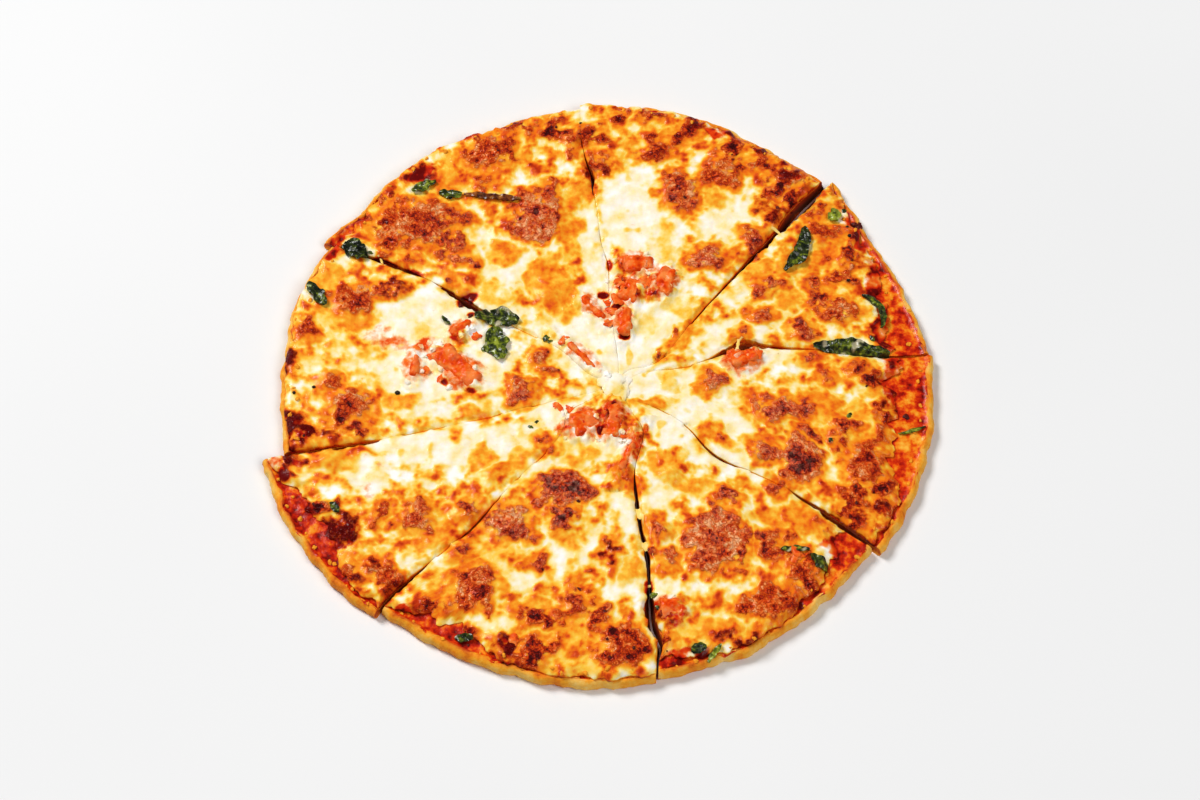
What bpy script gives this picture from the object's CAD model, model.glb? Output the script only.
"""The looks of a thin spinach pizza, baked, cut in eight and still lying as the whole.

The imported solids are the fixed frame. Each slice gets a crust, a sauce and a cheese of finer shape, which
stand for its solids, and so do the diced tomato and the spinach. The tables are in millimetres on the plan
that the solids were drawn on, and MM and MIDDLE take them to the frame.
"""

import logging
import math
from collections.abc import Callable, Iterator
from contextlib import contextmanager
from dataclasses import dataclass
from enum import Enum

import bpy
import numpy as np
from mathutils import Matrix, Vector, noise


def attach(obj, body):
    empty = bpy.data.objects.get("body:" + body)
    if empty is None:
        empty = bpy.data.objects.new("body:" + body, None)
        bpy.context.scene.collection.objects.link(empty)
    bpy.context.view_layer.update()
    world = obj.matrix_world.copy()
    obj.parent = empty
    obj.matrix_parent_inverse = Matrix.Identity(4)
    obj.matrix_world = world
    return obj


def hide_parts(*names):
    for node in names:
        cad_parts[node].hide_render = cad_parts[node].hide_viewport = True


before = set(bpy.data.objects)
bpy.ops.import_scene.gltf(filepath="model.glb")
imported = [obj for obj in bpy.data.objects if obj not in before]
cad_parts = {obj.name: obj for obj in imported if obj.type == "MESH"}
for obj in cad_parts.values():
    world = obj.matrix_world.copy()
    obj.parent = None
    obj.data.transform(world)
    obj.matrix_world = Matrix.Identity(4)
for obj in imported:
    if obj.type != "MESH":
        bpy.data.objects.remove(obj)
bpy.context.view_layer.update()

Array = np.ndarray
Material, Mesh, Socket, Thing = bpy.types.Material, bpy.types.Mesh, bpy.types.NodeSocket, bpy.types.Object

MM = 0.001
MIDDLE = np.array((0.65, 1.75))
BODY = "root"
LOG = logging.getLogger("spinach_pizza")

# ---------------------------------------------------------------------------------------------- the plan

# Heights of the layers above the table, and the rim
CRUST_TOP = 4.0
RIM_TOP = 6.4
RIM_WIDTH = 5.0
RIM_SIDE = 2.6
RIM_WAVE = 0.6
# How far in from its edge the crust is knobbly
RIM_REACH = 9.0
HEEL_INSET = 1.0
SAUCE_BOTTOM = 4.3
SAUCE_TOP = 5.6
CHEESE_BOTTOM = 5.9
CHEESE_TOP = 8.7

# Where the cuts meet, and each cut from there to the rim: x, y and the width of the gap that it leaves
CUTS_MEET = np.array((8.0, -5.0))
CUTS = (
    ((8.5, 8, 0.5), (4.5, 38, 0.5), (4, 60, 0.7), (0.5, 74, 0.7), (-1.5, 92, 0.8), (-3.6, 104, 1.2),
     (-3.8, 112, 1.8), (-7.5, 124, 1.2), (-9.5, 136, 0.8), (-10, 154, 0.9)),
    ((13, 3, 0.5), (28, 9, 0.6), (46, 33, 1.2), (64, 55, 1.6), (75, 68, 2.6), (87, 81.5, 3.8), (95, 92, 6.6),
     (110, 109, 4.2)),
    ((20, 2, 0.5), (42, 6, 0.9), (57, 13, 2.0), (68, 17.5, 5.5), (78, 16.5, 2.4), (102, 14.5, 1.2),
     (128, 11.5, 2.0), (155, 13, 1.0)),
    ((14, -12, 0.5), (27, -17, 0.8), (40, -26, 0.8), (54, -42, 1.5), (80, -55, 0.8), (108, -75, 2.8),
     (125, -88, 1.2)),
    ((15, -19, 0.5), (20, -30, 0.6), (16, -48, 1.0), (16.5, -62, 1.8), (18.5, -79, 2.0), (21, -89, 2.4),
     (22, -105, 1.8), (22, -114, 4.2), (23, -124, 4.6), (26.5, -134, 2.8), (25.2, -143, 1.3),
     (25, -153, 1.2)),
    ((-6, -13, 0.8), (-14.5, -19, 1.0), (-19.5, -33, 0.9), (-41, -57, 0.9), (-58, -78, 1.6), (-71, -90, 0.8),
     (-91, -109, 2.5), (-101, -121, 1.0)),
    ((-6, -9, 0.5), (-33, -16, 0.8), (-62, -24, 0.7), (-97, -32, 0.8), (-109, -34.5, 2.4), (-151, -41, 2.0)),
    ((-4, 0, 0.5), (-20, 15, 0.5), (-42, 28, 0.6), (-63, 40, 3.4), (-80, 52, 1.0), (-100, 61.5, 2.2),
     (-131, 74, 0.8)),
)
# How dark the walls of each cut are
CUT_BAKE = (0.8, 1.0, 0.75, 0.9, 1.0, 0.8, 0.85, 1.0)
TIP_REACH = 6.0
TIP_CLEARANCE = 0.1

# The rim's radius at seven even steps clockwise along each slice, and at five steps how far inside it the
# cheese ends
RIM_RADII = (
    (153, 149, 151, 152.5, 151, 152.5, 154), (157, 156, 157, 156, 154, 153.5, 155),
    (159, 155, 151.5, 152, 153, 154, 155.5), (157, 155, 156, 155.5, 155.5, 155, 154.5),
    (150.5, 150, 151, 151, 152, 151, 151), (152.5, 153.5, 153, 152.5, 152, 152, 152.5),
    (156, 158, 159, 159.5, 161, 160, 161), (150.5, 149, 149, 149.5, 150.5, 150.5, 149),
)
RIM_RIPPLE = 0.8
RIPPLE_DENSITY = 13
CHEESE_MARGINS = (
    (11, 6.5, 5.6, 6, 5.8), (5.8, 6.2, 7, 5.8, 5.6), (7, 9, 11, 20, 23), (21, 23, 20, 10, 8),
    (22, 10, 6.5, 7, 12), (6.5, 6.5, 7, 14, 8), (8, 9, 18, 14, 7), (6.5, 5.7, 5.8, 6, 7),
)

# Blisters that the cheese has raised: x, y and radius
BLISTERS = (
    (-50, 124, 13), (-28, 88, 17), (-88, 82, 20), (-14, 132, 9), (-22, 46, 12), (27, 125, 8), (40, 102, 13),
    (60, 116, 11), (93, 108, 12), (52, 62, 10), (105, 77, 9), (117, 64, 8), (77, 48, 8), (113, 35, 12),
    (75, 30, 9), (95, 25, 9), (80, -20, 14), (92, -45, 13), (53, -4, 9), (73, -40, 8), (112, -30, 10),
    (120, 0, 10), (122, -52, 14), (49, -88, 14), (88, -97, 14), (78, -119, 13), (28, -80, 8), (32, -50, 8),
    (64, -72, 9), (-20, -60, 12), (-14, -76, 8), (-42, -76, 12), (-52, -109, 11), (-10, -117, 9),
    (9, -139, 11), (-27, -141, 8), (-62, -71, 9), (-81, -72, 10), (-114, -80, 8), (-97, -108, 7),
    (-48, -50, 9), (-124, -44, 9), (-116, -13, 13), (-127, 0, 8), (-35, -5, 10), (-28, 10, 7), (-116, 38, 11),
    (-95, 47, 8),
)
BLISTER_RISE = 1.5
WAVE_RISE = 0.7
WAVE_LENGTH = 16.0
# How far the lattice that holds the waves goes from the middle, and its step
LATTICE_REACH = 180
LATTICE_STEP = 2

# The number of tomato dice, how brown a patch is that has burnt specks, and where crumbs lie on the rim, as a
# share of its radius
DICE_COUNT = 14
SCORCHED_FROM = 0.97
ON_RIM = 0.965
# How close a share or a height is to count as the same
ON_EDGE = 1e-6

# Browned patches: x, y, half the width, half the height, turn in degrees, and how brown the middle is
BROWNED = (
    # first slice, far left
    (-55, 125, 15, 11, 25, .84), (-47, 126, 6, 6, 0, 1.0), (-63, 119, 6, 5, 20, .8),
    (-88, 84, 23, 15, 5, .79), (-104, 84, 8, 6, 0, .95), (-74, 86, 6, 6, 0, .96), (-86, 78, 9, 6, 10, .93),
    (-66, 65, 9, 7, -25, .74), (-103, 69, 7, 6, 0, .88), (-6, 139, 6, 6, 0, .98), (-88, 64, 6, 4, -20, .82),
    (-50, 43, 6, 4, 0, .5), (-14, 85, 4, 7, 0, .62), (-66, 83, 5, 6, 0, .78), (-72, 119, 5, 4, 0, .6),
    (-73, 72, 7, 6, 0, .94), (-15, 76, 4, 7, 0, .62), (-15, 34, 5, 5, 0, .62), (-38, 123, 6, 5, 0, .8),
    (-66, 47, 6, 4, -35, .96), (-56, 109, 7, 5, 0, .78), (-104, 98, 6, 4, 30, .7), (-30, 88, 14, 15, 12, .84),
    (-37, 89, 6, 6, 0, .97), (-24, 88, 6, 6, 0, .95), (-24, 103, 6, 7, 0, .88), (-46, 68, 7, 7, 30, .64),
    (-24, 50, 11, 14, 5, .64), (-21, 44, 6, 7, 0, .64), (-15, 132, 7, 8, 0, .86), (-3, 133, 6, 7, 0, .96),
    (-23, 139, 5.4, 5, 0, 1.15), (-1, 118, 7, 7, 20, .8), (-40, 141, 14, 6, -14, .85),
    (-75, 110, 10, 5, 15, .66), (-8, 104, 4, 8, 0, .62), (-14, 97, 4, 5, 0, .62), (-8, 110, 3, 4, 0, .8),
    (-58, 99, 16, 3, -8, .74),
    # second, top
    (8, 147, 5, 5, 0, .92), (26, 147, 6, 5, 0, .96), (44, 140, 6, 6, 0, .9), (28, 127, 9, 7, 0, .86),
    (39, 102, 11, 14, 10, .8), (36, 98, 6, 6, 0, 1.06), (41, 109, 7, 5, 0, .8), (58, 113, 12, 9, 25, .82),
    (64, 125, 7, 6, 0, 1.03), (17, 125, 5, 5, 0, .7), (24, 27, 4, 3, 0, .35), (77, 128, 7, 4, -30, .95),
    (77, 117, 8, 7, 0, .82), (91, 97, 6, 6, 0, .99), (71, 68, 4, 6, -35, .9), (39, 133, 6, 5, 0, .9),
    (93, 110, 10, 9, 0, .9), (86, 105, 5, 5, 0, 1.15), (93, 100, 4, 4, 0, 1.0), (59, 126, 7, 6, 0, .93),
    (55, 97, 5, 4, 0, .62), (51, 64, 12, 8, 15, .76), (74, 77, 6, 7, 45, .76), (82, 89, 5, 9, 35, .82),
    (17, 137, 12, 4, 0, .3), (5, 119, 6, 6, 0, .55),
    # third, upper right
    (108, 79, 10, 6, -15, .84), (119, 65, 5, 7, 0, 1.0), (81, 50, 8, 6, 0, .74), (104, 50, 8, 6, 0, .72),
    (77, 33, 7, 6, 0, .76), (96, 25, 8, 8, 0, .8), (114, 37, 11, 9, 0, .7), (42, 24, 9, 3.5, 42, .7),
    (38, 36, 5, 4, 0, .45), (103, 40, 7, 6, 0, .84), (96, 62, 12, 7, 10, .66), (89, 42, 6, 5, 0, .62),
    (106, 66, 6, 4, 20, .8), (75, 56, 9, 5, 40, .64), (120, 77, 3, 3, 0, .95), (105, 91, 7, 6, 0, .92),
    (117, 56, 7, 7, 0, .95), (65, 22, 5, 3, 20, .74),
    # fourth, right
    (52, -3, 7, 8, 0, .72), (98, 10, 7, 4, 15, .78), (105, -1, 6, 5, 0, .8), (120, 4, 5, 5, 0, .88),
    (126, -4, 5, 6, 0, 1.02), (82, -16, 17, 8, -10, .8), (104, -15, 8, 7, 0, .66), (96, -29, 6, 5, 0, .88),
    (119, -17, 5, 5, 0, .6), (127, -58, 7, 6, 0, .97), (111, -33, 6, 6, 0, .92), (131, -21, 5, 6, 0, .92),
    (113, -28, 9, 6, 0, .9), (92, -44, 11, 12, 0, 1.08), (75, -39, 8, 9, 0, .74), (122, -45, 12, 11, 0, .86),
    (119, -61, 8, 7, 0, .98), (111, -68, 7, 6, 0, .99), (130, -30, 6, 6, 0, .86), (82, -57, 7, 5, 0, .78),
    (129, -70, 8, 7, -30, .92), (100, -55, 10, 6, -20, .6), (33, -2, 3, 3, 0, .42),
    # fifth, lower right
    (30, -45, 7, 7, 0, .6), (39, -55, 10, 3, -15, .62), (27, -77, 7, 5, 0, .7), (30, -93, 6, 6, 0, .72),
    (51, -85, 15, 17, 0, .88), (50, -82, 9, 10, 0, .99), (62, -92, 6, 8, 0, .93), (77, -86, 9, 8, 0, .86),
    (92, -104, 8, 10, 0, .93), (88, -92, 8, 6, 0, .84), (75, -114, 12, 11, 15, .82), (66, -119, 6, 6, 0, .95),
    (85, -118, 7, 6, 0, .86), (60, -133, 11, 4, 12, .8), (53, -31, 8, 3.5, -35, .76),
    (50, -127, 8, 4, 0, .66), (23, -15, 7, 2.6, -12, .66), (33, -14, 2, 1.5, 0, .5),
    (37.5, 22.5, 12, 1.8, 54, .92), (85, -73, 14, 6, -10, .66), (57, -64, 7, 5, 0, .74),
    (117, -75, 6, 5, -40, .9), (29, -134, 5, 6, 0, 1.0), (35, -128, 7, 6, 0, .5), (102, -80, 8, 5, -40, .7),
    # sixth, bottom
    (-17, -59, 16, 9, -10, .92), (-24, -56, 8, 6, 0, .96), (-8, -61, 7, 6, 0, .97), (-15, -73, 6, 6, 0, .93),
    (-40, -75, 14, 11, 10, .68), (-31, -81, 4, 4, 0, .92), (-30, -94, 6, 5, 0, .82), (5, -91, 4, 9, 0, .76),
    (-10, -113, 6, 10, 10, .98), (-30, -119, 9, 6, 0, .9), (0, -121, 6, 6, 0, 1.0), (-27, -138, 8, 7, 0, .98),
    (10, -135, 10, 12, 0, .92), (6, -130, 6, 6, 0, 1.0), (14, -141, 6, 6, 0, .97),
    (-58, -107, 15, 12, 30, .72), (-71, -116, 6, 5, 0, .94), (-51, -113, 8, 8, 0, .95),
    (-10, -42, 7, 5, 0, .55), (8, -50, 5, 6, 0, .78), (-42, -137, 5, 6, 0, .93), (-61, -132, 5, 5, 0, .98),
    (-12, -147, 14, 4, 0, .5), (-12, -131, 10, 7, 0, .58), (-45, -90, 6, 5, 0, .5), (-61, -89, 7, 5, 20, .78),
    (-23, -124, 6, 5, 0, .94), (-22, -69, 5, 4, 0, .92), (15, -58, 3, 5, 0, .8), (15, -98, 3, 5, 0, .62),
    (-15, -84, 6, 4, 0, .62), (1, -139, 7, 5, 0, 1.0), (-14, -120, 5, 5, 0, .84),
    # seventh, lower left
    (-24, -37, 6, 4.5, 20, .76), (-42, -47, 12, 4, 35, .62), (-62, -68, 10, 7, 0, .7),
    (-82, -73, 9, 8, 0, .7), (-100, -71, 6, 6, 0, .82), (-56, -44, 5, 5, 0, .62), (-123, -42, 12, 7, 10, .6),
    (-132, -31, 9, 5, 0, .98), (-112, -29, 7, 5, 10, .95), (-140, -44, 5, 5, 0, .7),
    (-138, -70, 7, 8, 0, .84), (-128, -70, 5.5, 5.5, 0, 1.2), (-115, -78, 7, 7, 0, .82),
    (-113, -81, 3.4, 3.4, 0, 1.02), (-124, -85, 6, 4, 0, .92), (-98, -102, 9, 8, 0, .82),
    (-112, -97, 9, 6, -40, .7), (-75, -84, 12, 6, 35, .66),
    # eighth, left
    (-114, 42, 16, 9, 20, .8), (-115, 41, 6, 6, 0, .95), (-97, 49, 6, 5, 20, .78), (-138, 28, 7, 9, 0, .78),
    (-146, 9, 5, 9, 0, .86), (-118, 30, 9, 4, 0, .66), (-125, -4, 7, 7, 0, .76), (-116, -16, 14, 11, 0, .74),
    (-86, 23, 5, 4, 0, .4), (-92, -14, 7, 5, 0, .6), (-120, -22, 8, 5, 0, .94), (-142, -26, 7, 8, 0, .72),
    (-27, 7, 6, 7, -20, .76), (-38, -8, 7, 8, 20, .78), (-60, -19, 5, 2.2, 10, .72),
    (-130, 55, 8, 9, -40, .6),
)

# Pools of pale cheese: x, y, half the width, half the height, turn, and how pale they are
PALE = (
    (-45, 62, 20, 12, -25, .95), (-58, 75, 9, 7, 0, .9), (-20, 72, 12, 6, 0, .7), (-6, 82, 7, 20, 0, .9),
    (-12, 34, 16, 14, 0, .85), (0, 52, 6, 20, 0, .8), (14, 92, 14, 26, 0, 1.0), (25, 66, 18, 14, 0, .7),
    (62, 87, 17, 9, 20, .95), (66, 100, 7, 10, 0, .8), (34, 78, 10, 12, 0, .7), (5, 16, 26, 20, 0, 1.0),
    (30, 30, 16, 14, 45, .95), (60, 22, 22, 9, 10, .95), (86, 36, 10, 12, 0, .8), (65, 42, 10, 8, 40, .7),
    (36, -8, 30, 11, -10, 1.0), (72, 8, 24, 6, 10, .9), (52, -22, 22, 7, -28, .95), (64, -34, 12, 8, -20, .9),
    (105, -38, 4, 12, 0, .8), (80, -48, 9, 5, -20, .8), (32, -26, 15, 9, -25, 1.0),
    (66, -47, 18, 6, -25, .95), (28, -62, 9, 10, 0, .8), (48, -60, 12, 6, -10, .7), (30, -104, 6, 14, 0, .75),
    (82, -62, 12, 5, -15, .6), (45, -106, 8, 7, 0, .5), (0, -36, 16, 8, 0, .9), (11, -66, 7, 16, 0, .9),
    (-28, -48, 12, 6, 30, .8), (-2, -88, 8, 12, 0, .8), (-18, -90, 10, 8, 0, .85), (-35, -102, 9, 8, 0, .8),
    (12, -100, 6, 14, 0, .8), (-48, -126, 9, 4, -8, .95), (-20, -20, 16, 8, -12, .9),
    (-74, -39, 38, 9, -8, 1.0), (-106, -52, 9, 10, 30, .9), (-44, -34, 18, 7, -12, .9),
    (-84, 32, 28, 15, 10, .95), (-84, 2, 22, 16, 0, .95), (-112, 8, 10, 6, 0, .5), (-80, -18, 26, 5, -4, .8),
    (-52, 8, 12, 16, 0, .9), (-125, 64, 8, 4, -30, .6), (-112, 69, 8, 6, -30, .8), (-62, -92, 10, 7, 35, .5),
    (-135, -52, 8, 8, 0, .3), (-68, -126, 6, 4, 0, .5), (-25, 22, 12, 8, 0, .7), (-50, 40, 10, 8, -30, .8),
    (60, -112, 10, 6, 0, .2), (34, 56, 12, 12, 0, .6), (140, -42, 7, 14, 10, 1.0), (-134, 7, 6, 5, 0, .7),
    (-123, 16, 8, 5, 0, .7), (91, -5, 6, 4, 0, .7), (63, 2, 5, 4, 0, .7), (55, -110, 6, 4, 0, .4),
    (71, 41, 5, 4, 0, .5), (-30, -28, 6, 4, 0, .9), (43, -38, 6, 4, -30, .9), (-136, -10, 5, 5, 0, .5),
    (-76, -55, 7, 3, 0, .9), (-70, -27, 7, 2.5, 5, .9), (-50, -14, 4, 3, 0, .8), (-24, -105, 5, 4, 0, .6),
    (99, 0, 4, 3, 0, .7), (-8, -8, 6, 4, 0, .8), (-37, 35, 6, 5, 0, .8), (17, 138, 10, 3, 0, .5),
)

# Sauce that shows through or over the cheese: x, y, half the width, half the height, turn, and how red
STAINED = (
    (-104, 98, 6, 4, 0, .3), (-88, 113, 8, 6, 30, .9), (-127, 76, 9, 7, 50, 1.0), (58, 139, 15, 4, -15, .9),
    (82, 91, 6, 13, 30, .7), (97, 113, 8, 12, 30, .6), (80, 131, 16, 6, -30, .6), (136, 42, 8, 26, 12, .95),
    (135, 27, 7, 10, 0, 1.0), (128, 78, 8, 14, 20, .8), (120, 90, 10, 12, 30, .5), (138, 0, 8, 26, 0, .85),
    (112, -92, 12, 9, -30, 1.0), (38, -142, 10, 4, 10, .9), (-39, -148, 4, 3, 0, 1.0),
    (-86, -121, 6, 5, 0, .9), (-61, -133, 7, 4, 0, .9), (-41, -136, 6, 7, 0, .8), (-140, -44, 6, 5, 0, .8),
    (-149, -50, 6, 5, 0, .8), (-138, -70, 9, 11, 0, .95), (-115, -78, 8, 8, 0, .8), (-124, -85, 8, 5, 0, .95),
    (-99, -102, 10, 8, 0, .5), (-146, 9, 5, 11, 0, .7), (-143, -26, 7, 9, 0, .7), (-125, -31, 16, 4, 8, .7),
    (-96, 49, 6, 5, 0, .6), (-98, 19, 8, 4, 0, .75), (-105, 24, 6, 4, 0, .6), (126, -70, 9, 8, -30, .6),
    (120, -46, 8, 8, 0, .35), (-6, 111, 2.5, 7, 10, .9), (4, 120, 4, 7, -10, .5), (5, -90, 3, 5, 0, .9),
    (-105, -46, 3, 2, 0, .6), (-90, -38, 3, 2, 0, .5), (60, -133, 11, 4, 12, .5), (8, 147, 5, 5, 0, .4),
    (26, 148, 5, 5, 0, .4), (-103, -64, 3, 3, 0, .5), (-105, -57, 4, 4, 0, .7), (124, 62, 5, 5, 0, .6),
    (-132, -31, 9, 4, 0, 1.0), (-87, 16, 7, 5, 0, .95), (111, -68, 7, 5, 0, .5), (-40, -79, 10, 7, 0, .3),
)

# Dark wet hollows beside the tomato and in the cuts: x, y, half width, half height, turn, and how deep
HOLLOWS = (
    (1.5, 44, 3.2, 2.2, 0, 1.0), (7.5, 37, 2.8, 2.2, 20, 1.0), (11.5, 21, 2.8, 2.4, 0, 1.0),
    (0, -29, 1.8, 2.6, 0, 1.0), (4.5, 61, 1.8, 3.2, 0, .8), (60, 13, 3.6, 2, -10, 1.0),
    (-72.5, -3, 2.6, 1.6, -45, .9), (-60, -8, 3, 1.5, -10, .9), (-69, 20, 1.8, 1.3, 0, .8),
    (-61, 33, 2, 1.6, 0, .9), (-63, 42, 6, 2.8, 32, 1.0), (-88, 57, 5, 1.4, -26, .9),
    (-103, 63, 7, 1.5, -25, 1.0), (21, -28, 1.6, 2.4, 0, .7), (21.5, -107, 2.2, 4, 0, .9),
    (9, 54, 2.2, 1.8, 0, .7),
)


def smoothstep(share: Array) -> Array:
    """Returns a soft rise from 0 to 1 as share goes from 0 to 1."""
    held = np.clip(share, 0.0, 1.0)
    return held * held * (3 - 2 * held)


def unit(vectors: Array) -> Array:
    """Returns the vectors at length 1."""
    return vectors / np.maximum(np.linalg.norm(vectors, axis=-1, keepdims=True), 1e-9)


def read_steps(values: tuple[float, ...], share: Array) -> Array:
    """Reads values given at even steps, blended softly.

    Args:
        values: The values, from share 0 to share 1.
        share: Where to read them.

    Returns:
        The value at each share.
    """
    steps = len(values) - 1
    held = np.asarray(values, float)
    i = np.clip((share * steps).astype(int), 0, steps - 1)
    blend = smoothstep(share * steps - i)
    return held[i] * (1 - blend) + held[i + 1] * blend


def smooth_line(points: Array, steps: int = 10) -> Array:
    """Returns a dense Catmull-Rom spline.

    Args:
        points: The points that it runs through.
        steps: How many points it gets for each of theirs.

    Returns:
        The points of the line.
    """
    held = np.vstack([2 * points[0] - points[1], points, 2 * points[-1] - points[-2]])
    a, b, c, d = held[:-3], held[1:-2], held[2:-1], held[3:]
    u = (np.arange(steps) / steps)[:, None, None]
    square, cube = 2 * a - 5 * b + 4 * c - d, 3 * b - a - 3 * c + d
    line = 0.5 * (2 * b + (c - a) * u + square * u ** 2 + cube * u ** 3)
    return np.vstack([line.transpose(1, 0, 2).reshape(-1, points.shape[1]), points[-1]])


def lattice_noise(level: float) -> Array:
    """Reads Blender's noise, as the solids' waves use it, on a lattice.

    Args:
        level: The noise's third coordinate.

    Returns:
        The values, row by row of y.
    """
    ticks = np.arange(-LATTICE_REACH, LATTICE_REACH + 1, LATTICE_STEP) / WAVE_LENGTH
    return np.array([[noise.noise(Vector((x, y, level))) for x in ticks] for y in ticks])


def read_lattice(lattice: Array, x: Array, y: Array) -> Array:
    """Reads a lattice, blended between its points.

    Args:
        lattice: The values, row by row of y.
        x: Places across.
        y: Places along.

    Returns:
        The value at each place.
    """
    last = len(lattice) - 1.001
    gx, gy = (np.clip((c + LATTICE_REACH) / LATTICE_STEP, 0, last) for c in (x, y))
    i, j = gx.astype(int), gy.astype(int)
    fx, fy = gx - i, gy - j
    return ((lattice[j, i] * (1 - fx) + lattice[j, i + 1] * fx) * (1 - fy)
            + (lattice[j + 1, i] * (1 - fx) + lattice[j + 1, i + 1] * fx) * fy)


class Grain:
    """Smooth gradient noise on a seeded lattice, read for many points at once."""

    cells: int = 256
    swing: float = 1.6
    step: tuple[float, float] = (37, -53)

    def __init__(self, seed: int) -> None:
        """Draws the lattice's slopes.

        Args:
            seed: Which lattice to draw.
        """
        angles = np.random.default_rng(seed).uniform(0, 2 * math.pi, (self.cells, self.cells))
        self.slopes = np.cos(angles), np.sin(angles)

    def at(self, x: Array, y: Array, size: float) -> Array:
        """Reads one layer of noise.

        Args:
            x: Places across.
            y: Places along.
            size: The width of its grains.

        Returns:
            Values from about -1 to 1.
        """
        x, y = x / size, y / size
        i, j = np.floor(x).astype(int), np.floor(y).astype(int)
        fx, fy = x - i, y - j
        total = 0.0
        for di in (0, 1):
            for dj in (0, 1):
                key = (i + di) & (self.cells - 1), (j + dj) & (self.cells - 1)
                lean = self.slopes[0][key] * (fx - di) + self.slopes[1][key] * (fy - dj)
                total = total + lean * smoothstep(1 - abs(fx - di)) * smoothstep(1 - abs(fy - dj))
        return total * self.swing

    def layered(self, x: Array, y: Array, size: float, layers: int, gain: float = 0.5) -> Array:
        """Returns layers of noise, each half as wide as the last and gain times as strong."""
        return sum(gain ** n * self.at(x + self.step[0] * n, y + self.step[1] * n, size / 2 ** n)
                   for n in range(layers))


WARP_X, WARP_Y, BLOTCH, FINE, EDGE = (Grain(seed) for seed in (3, 5, 7, 11, 13))
WAVES, RIM_WAVES = lattice_noise(3.0), lattice_noise(7.0)


class CutSide:
    """A side of a slice, from its tip to a corner of its rim, read by its share of the length."""

    def __init__(self, tip: Array, line: Array) -> None:
        """Joins the line to the tip.

        Args:
            tip: The slice's tip.
            line: The side's points, each x, y and half the gap there.
        """
        clear = line[np.linalg.norm(line[:, :2] - CUTS_MEET, axis=1) > TIP_REACH]
        self.points = np.vstack([[*tip, line[0, 2]], clear])
        steps = np.linalg.norm(np.diff(self.points[:, :2], axis=0), axis=1)
        self.runs = np.concatenate([[0.0], np.cumsum(steps)])
        self.length = self.runs[-1]

    def at(self, share: Array) -> Array:
        """Returns the points at those shares of the way out."""
        run = share * self.length
        return np.stack([np.interp(run, self.runs, self.points[:, k]) for k in (0, 1)], axis=-1)

    def half_gap(self, share: Array) -> Array:
        """Returns half the gap at those shares of the way out."""
        return np.interp(share * self.length, self.runs, self.points[:, 2])


def cut_side(cut: tuple, side: int, radius: float) -> Array:
    """Draws one side of a cut.

    Args:
        cut: The cut's row of CUTS.
        side: 1 for the side that is clockwise of it, -1 for the other.
        radius: Where the side ends, measured from the plan's origin.

    Returns:
        The side's points, each x, y and half the gap there.
    """
    line = smooth_line(np.array([(*CUTS_MEET, cut[0][2]), *cut], float))
    ahead, behind = np.vstack([line[1:], line[-1:]]), np.vstack([line[:1], line[:-1]])
    along = unit((ahead - behind)[:, :2])
    clockwise = np.stack([along[:, 1], -along[:, 0]], axis=1)
    shifted = line[:, :2] + clockwise * side * line[:, 2:] / 2
    kept = np.hypot(*shifted.T) < radius - 0.5
    points, halves = shifted[kept], line[kept, 2] / 2
    way, end = unit(points[-1] - points[-3]), points[-1]
    reach = -end @ way + math.sqrt((end @ way) ** 2 + radius ** 2 - end @ end)
    return np.vstack([np.column_stack([points, halves]), [*(end + way * reach), halves[-1]]])


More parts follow.
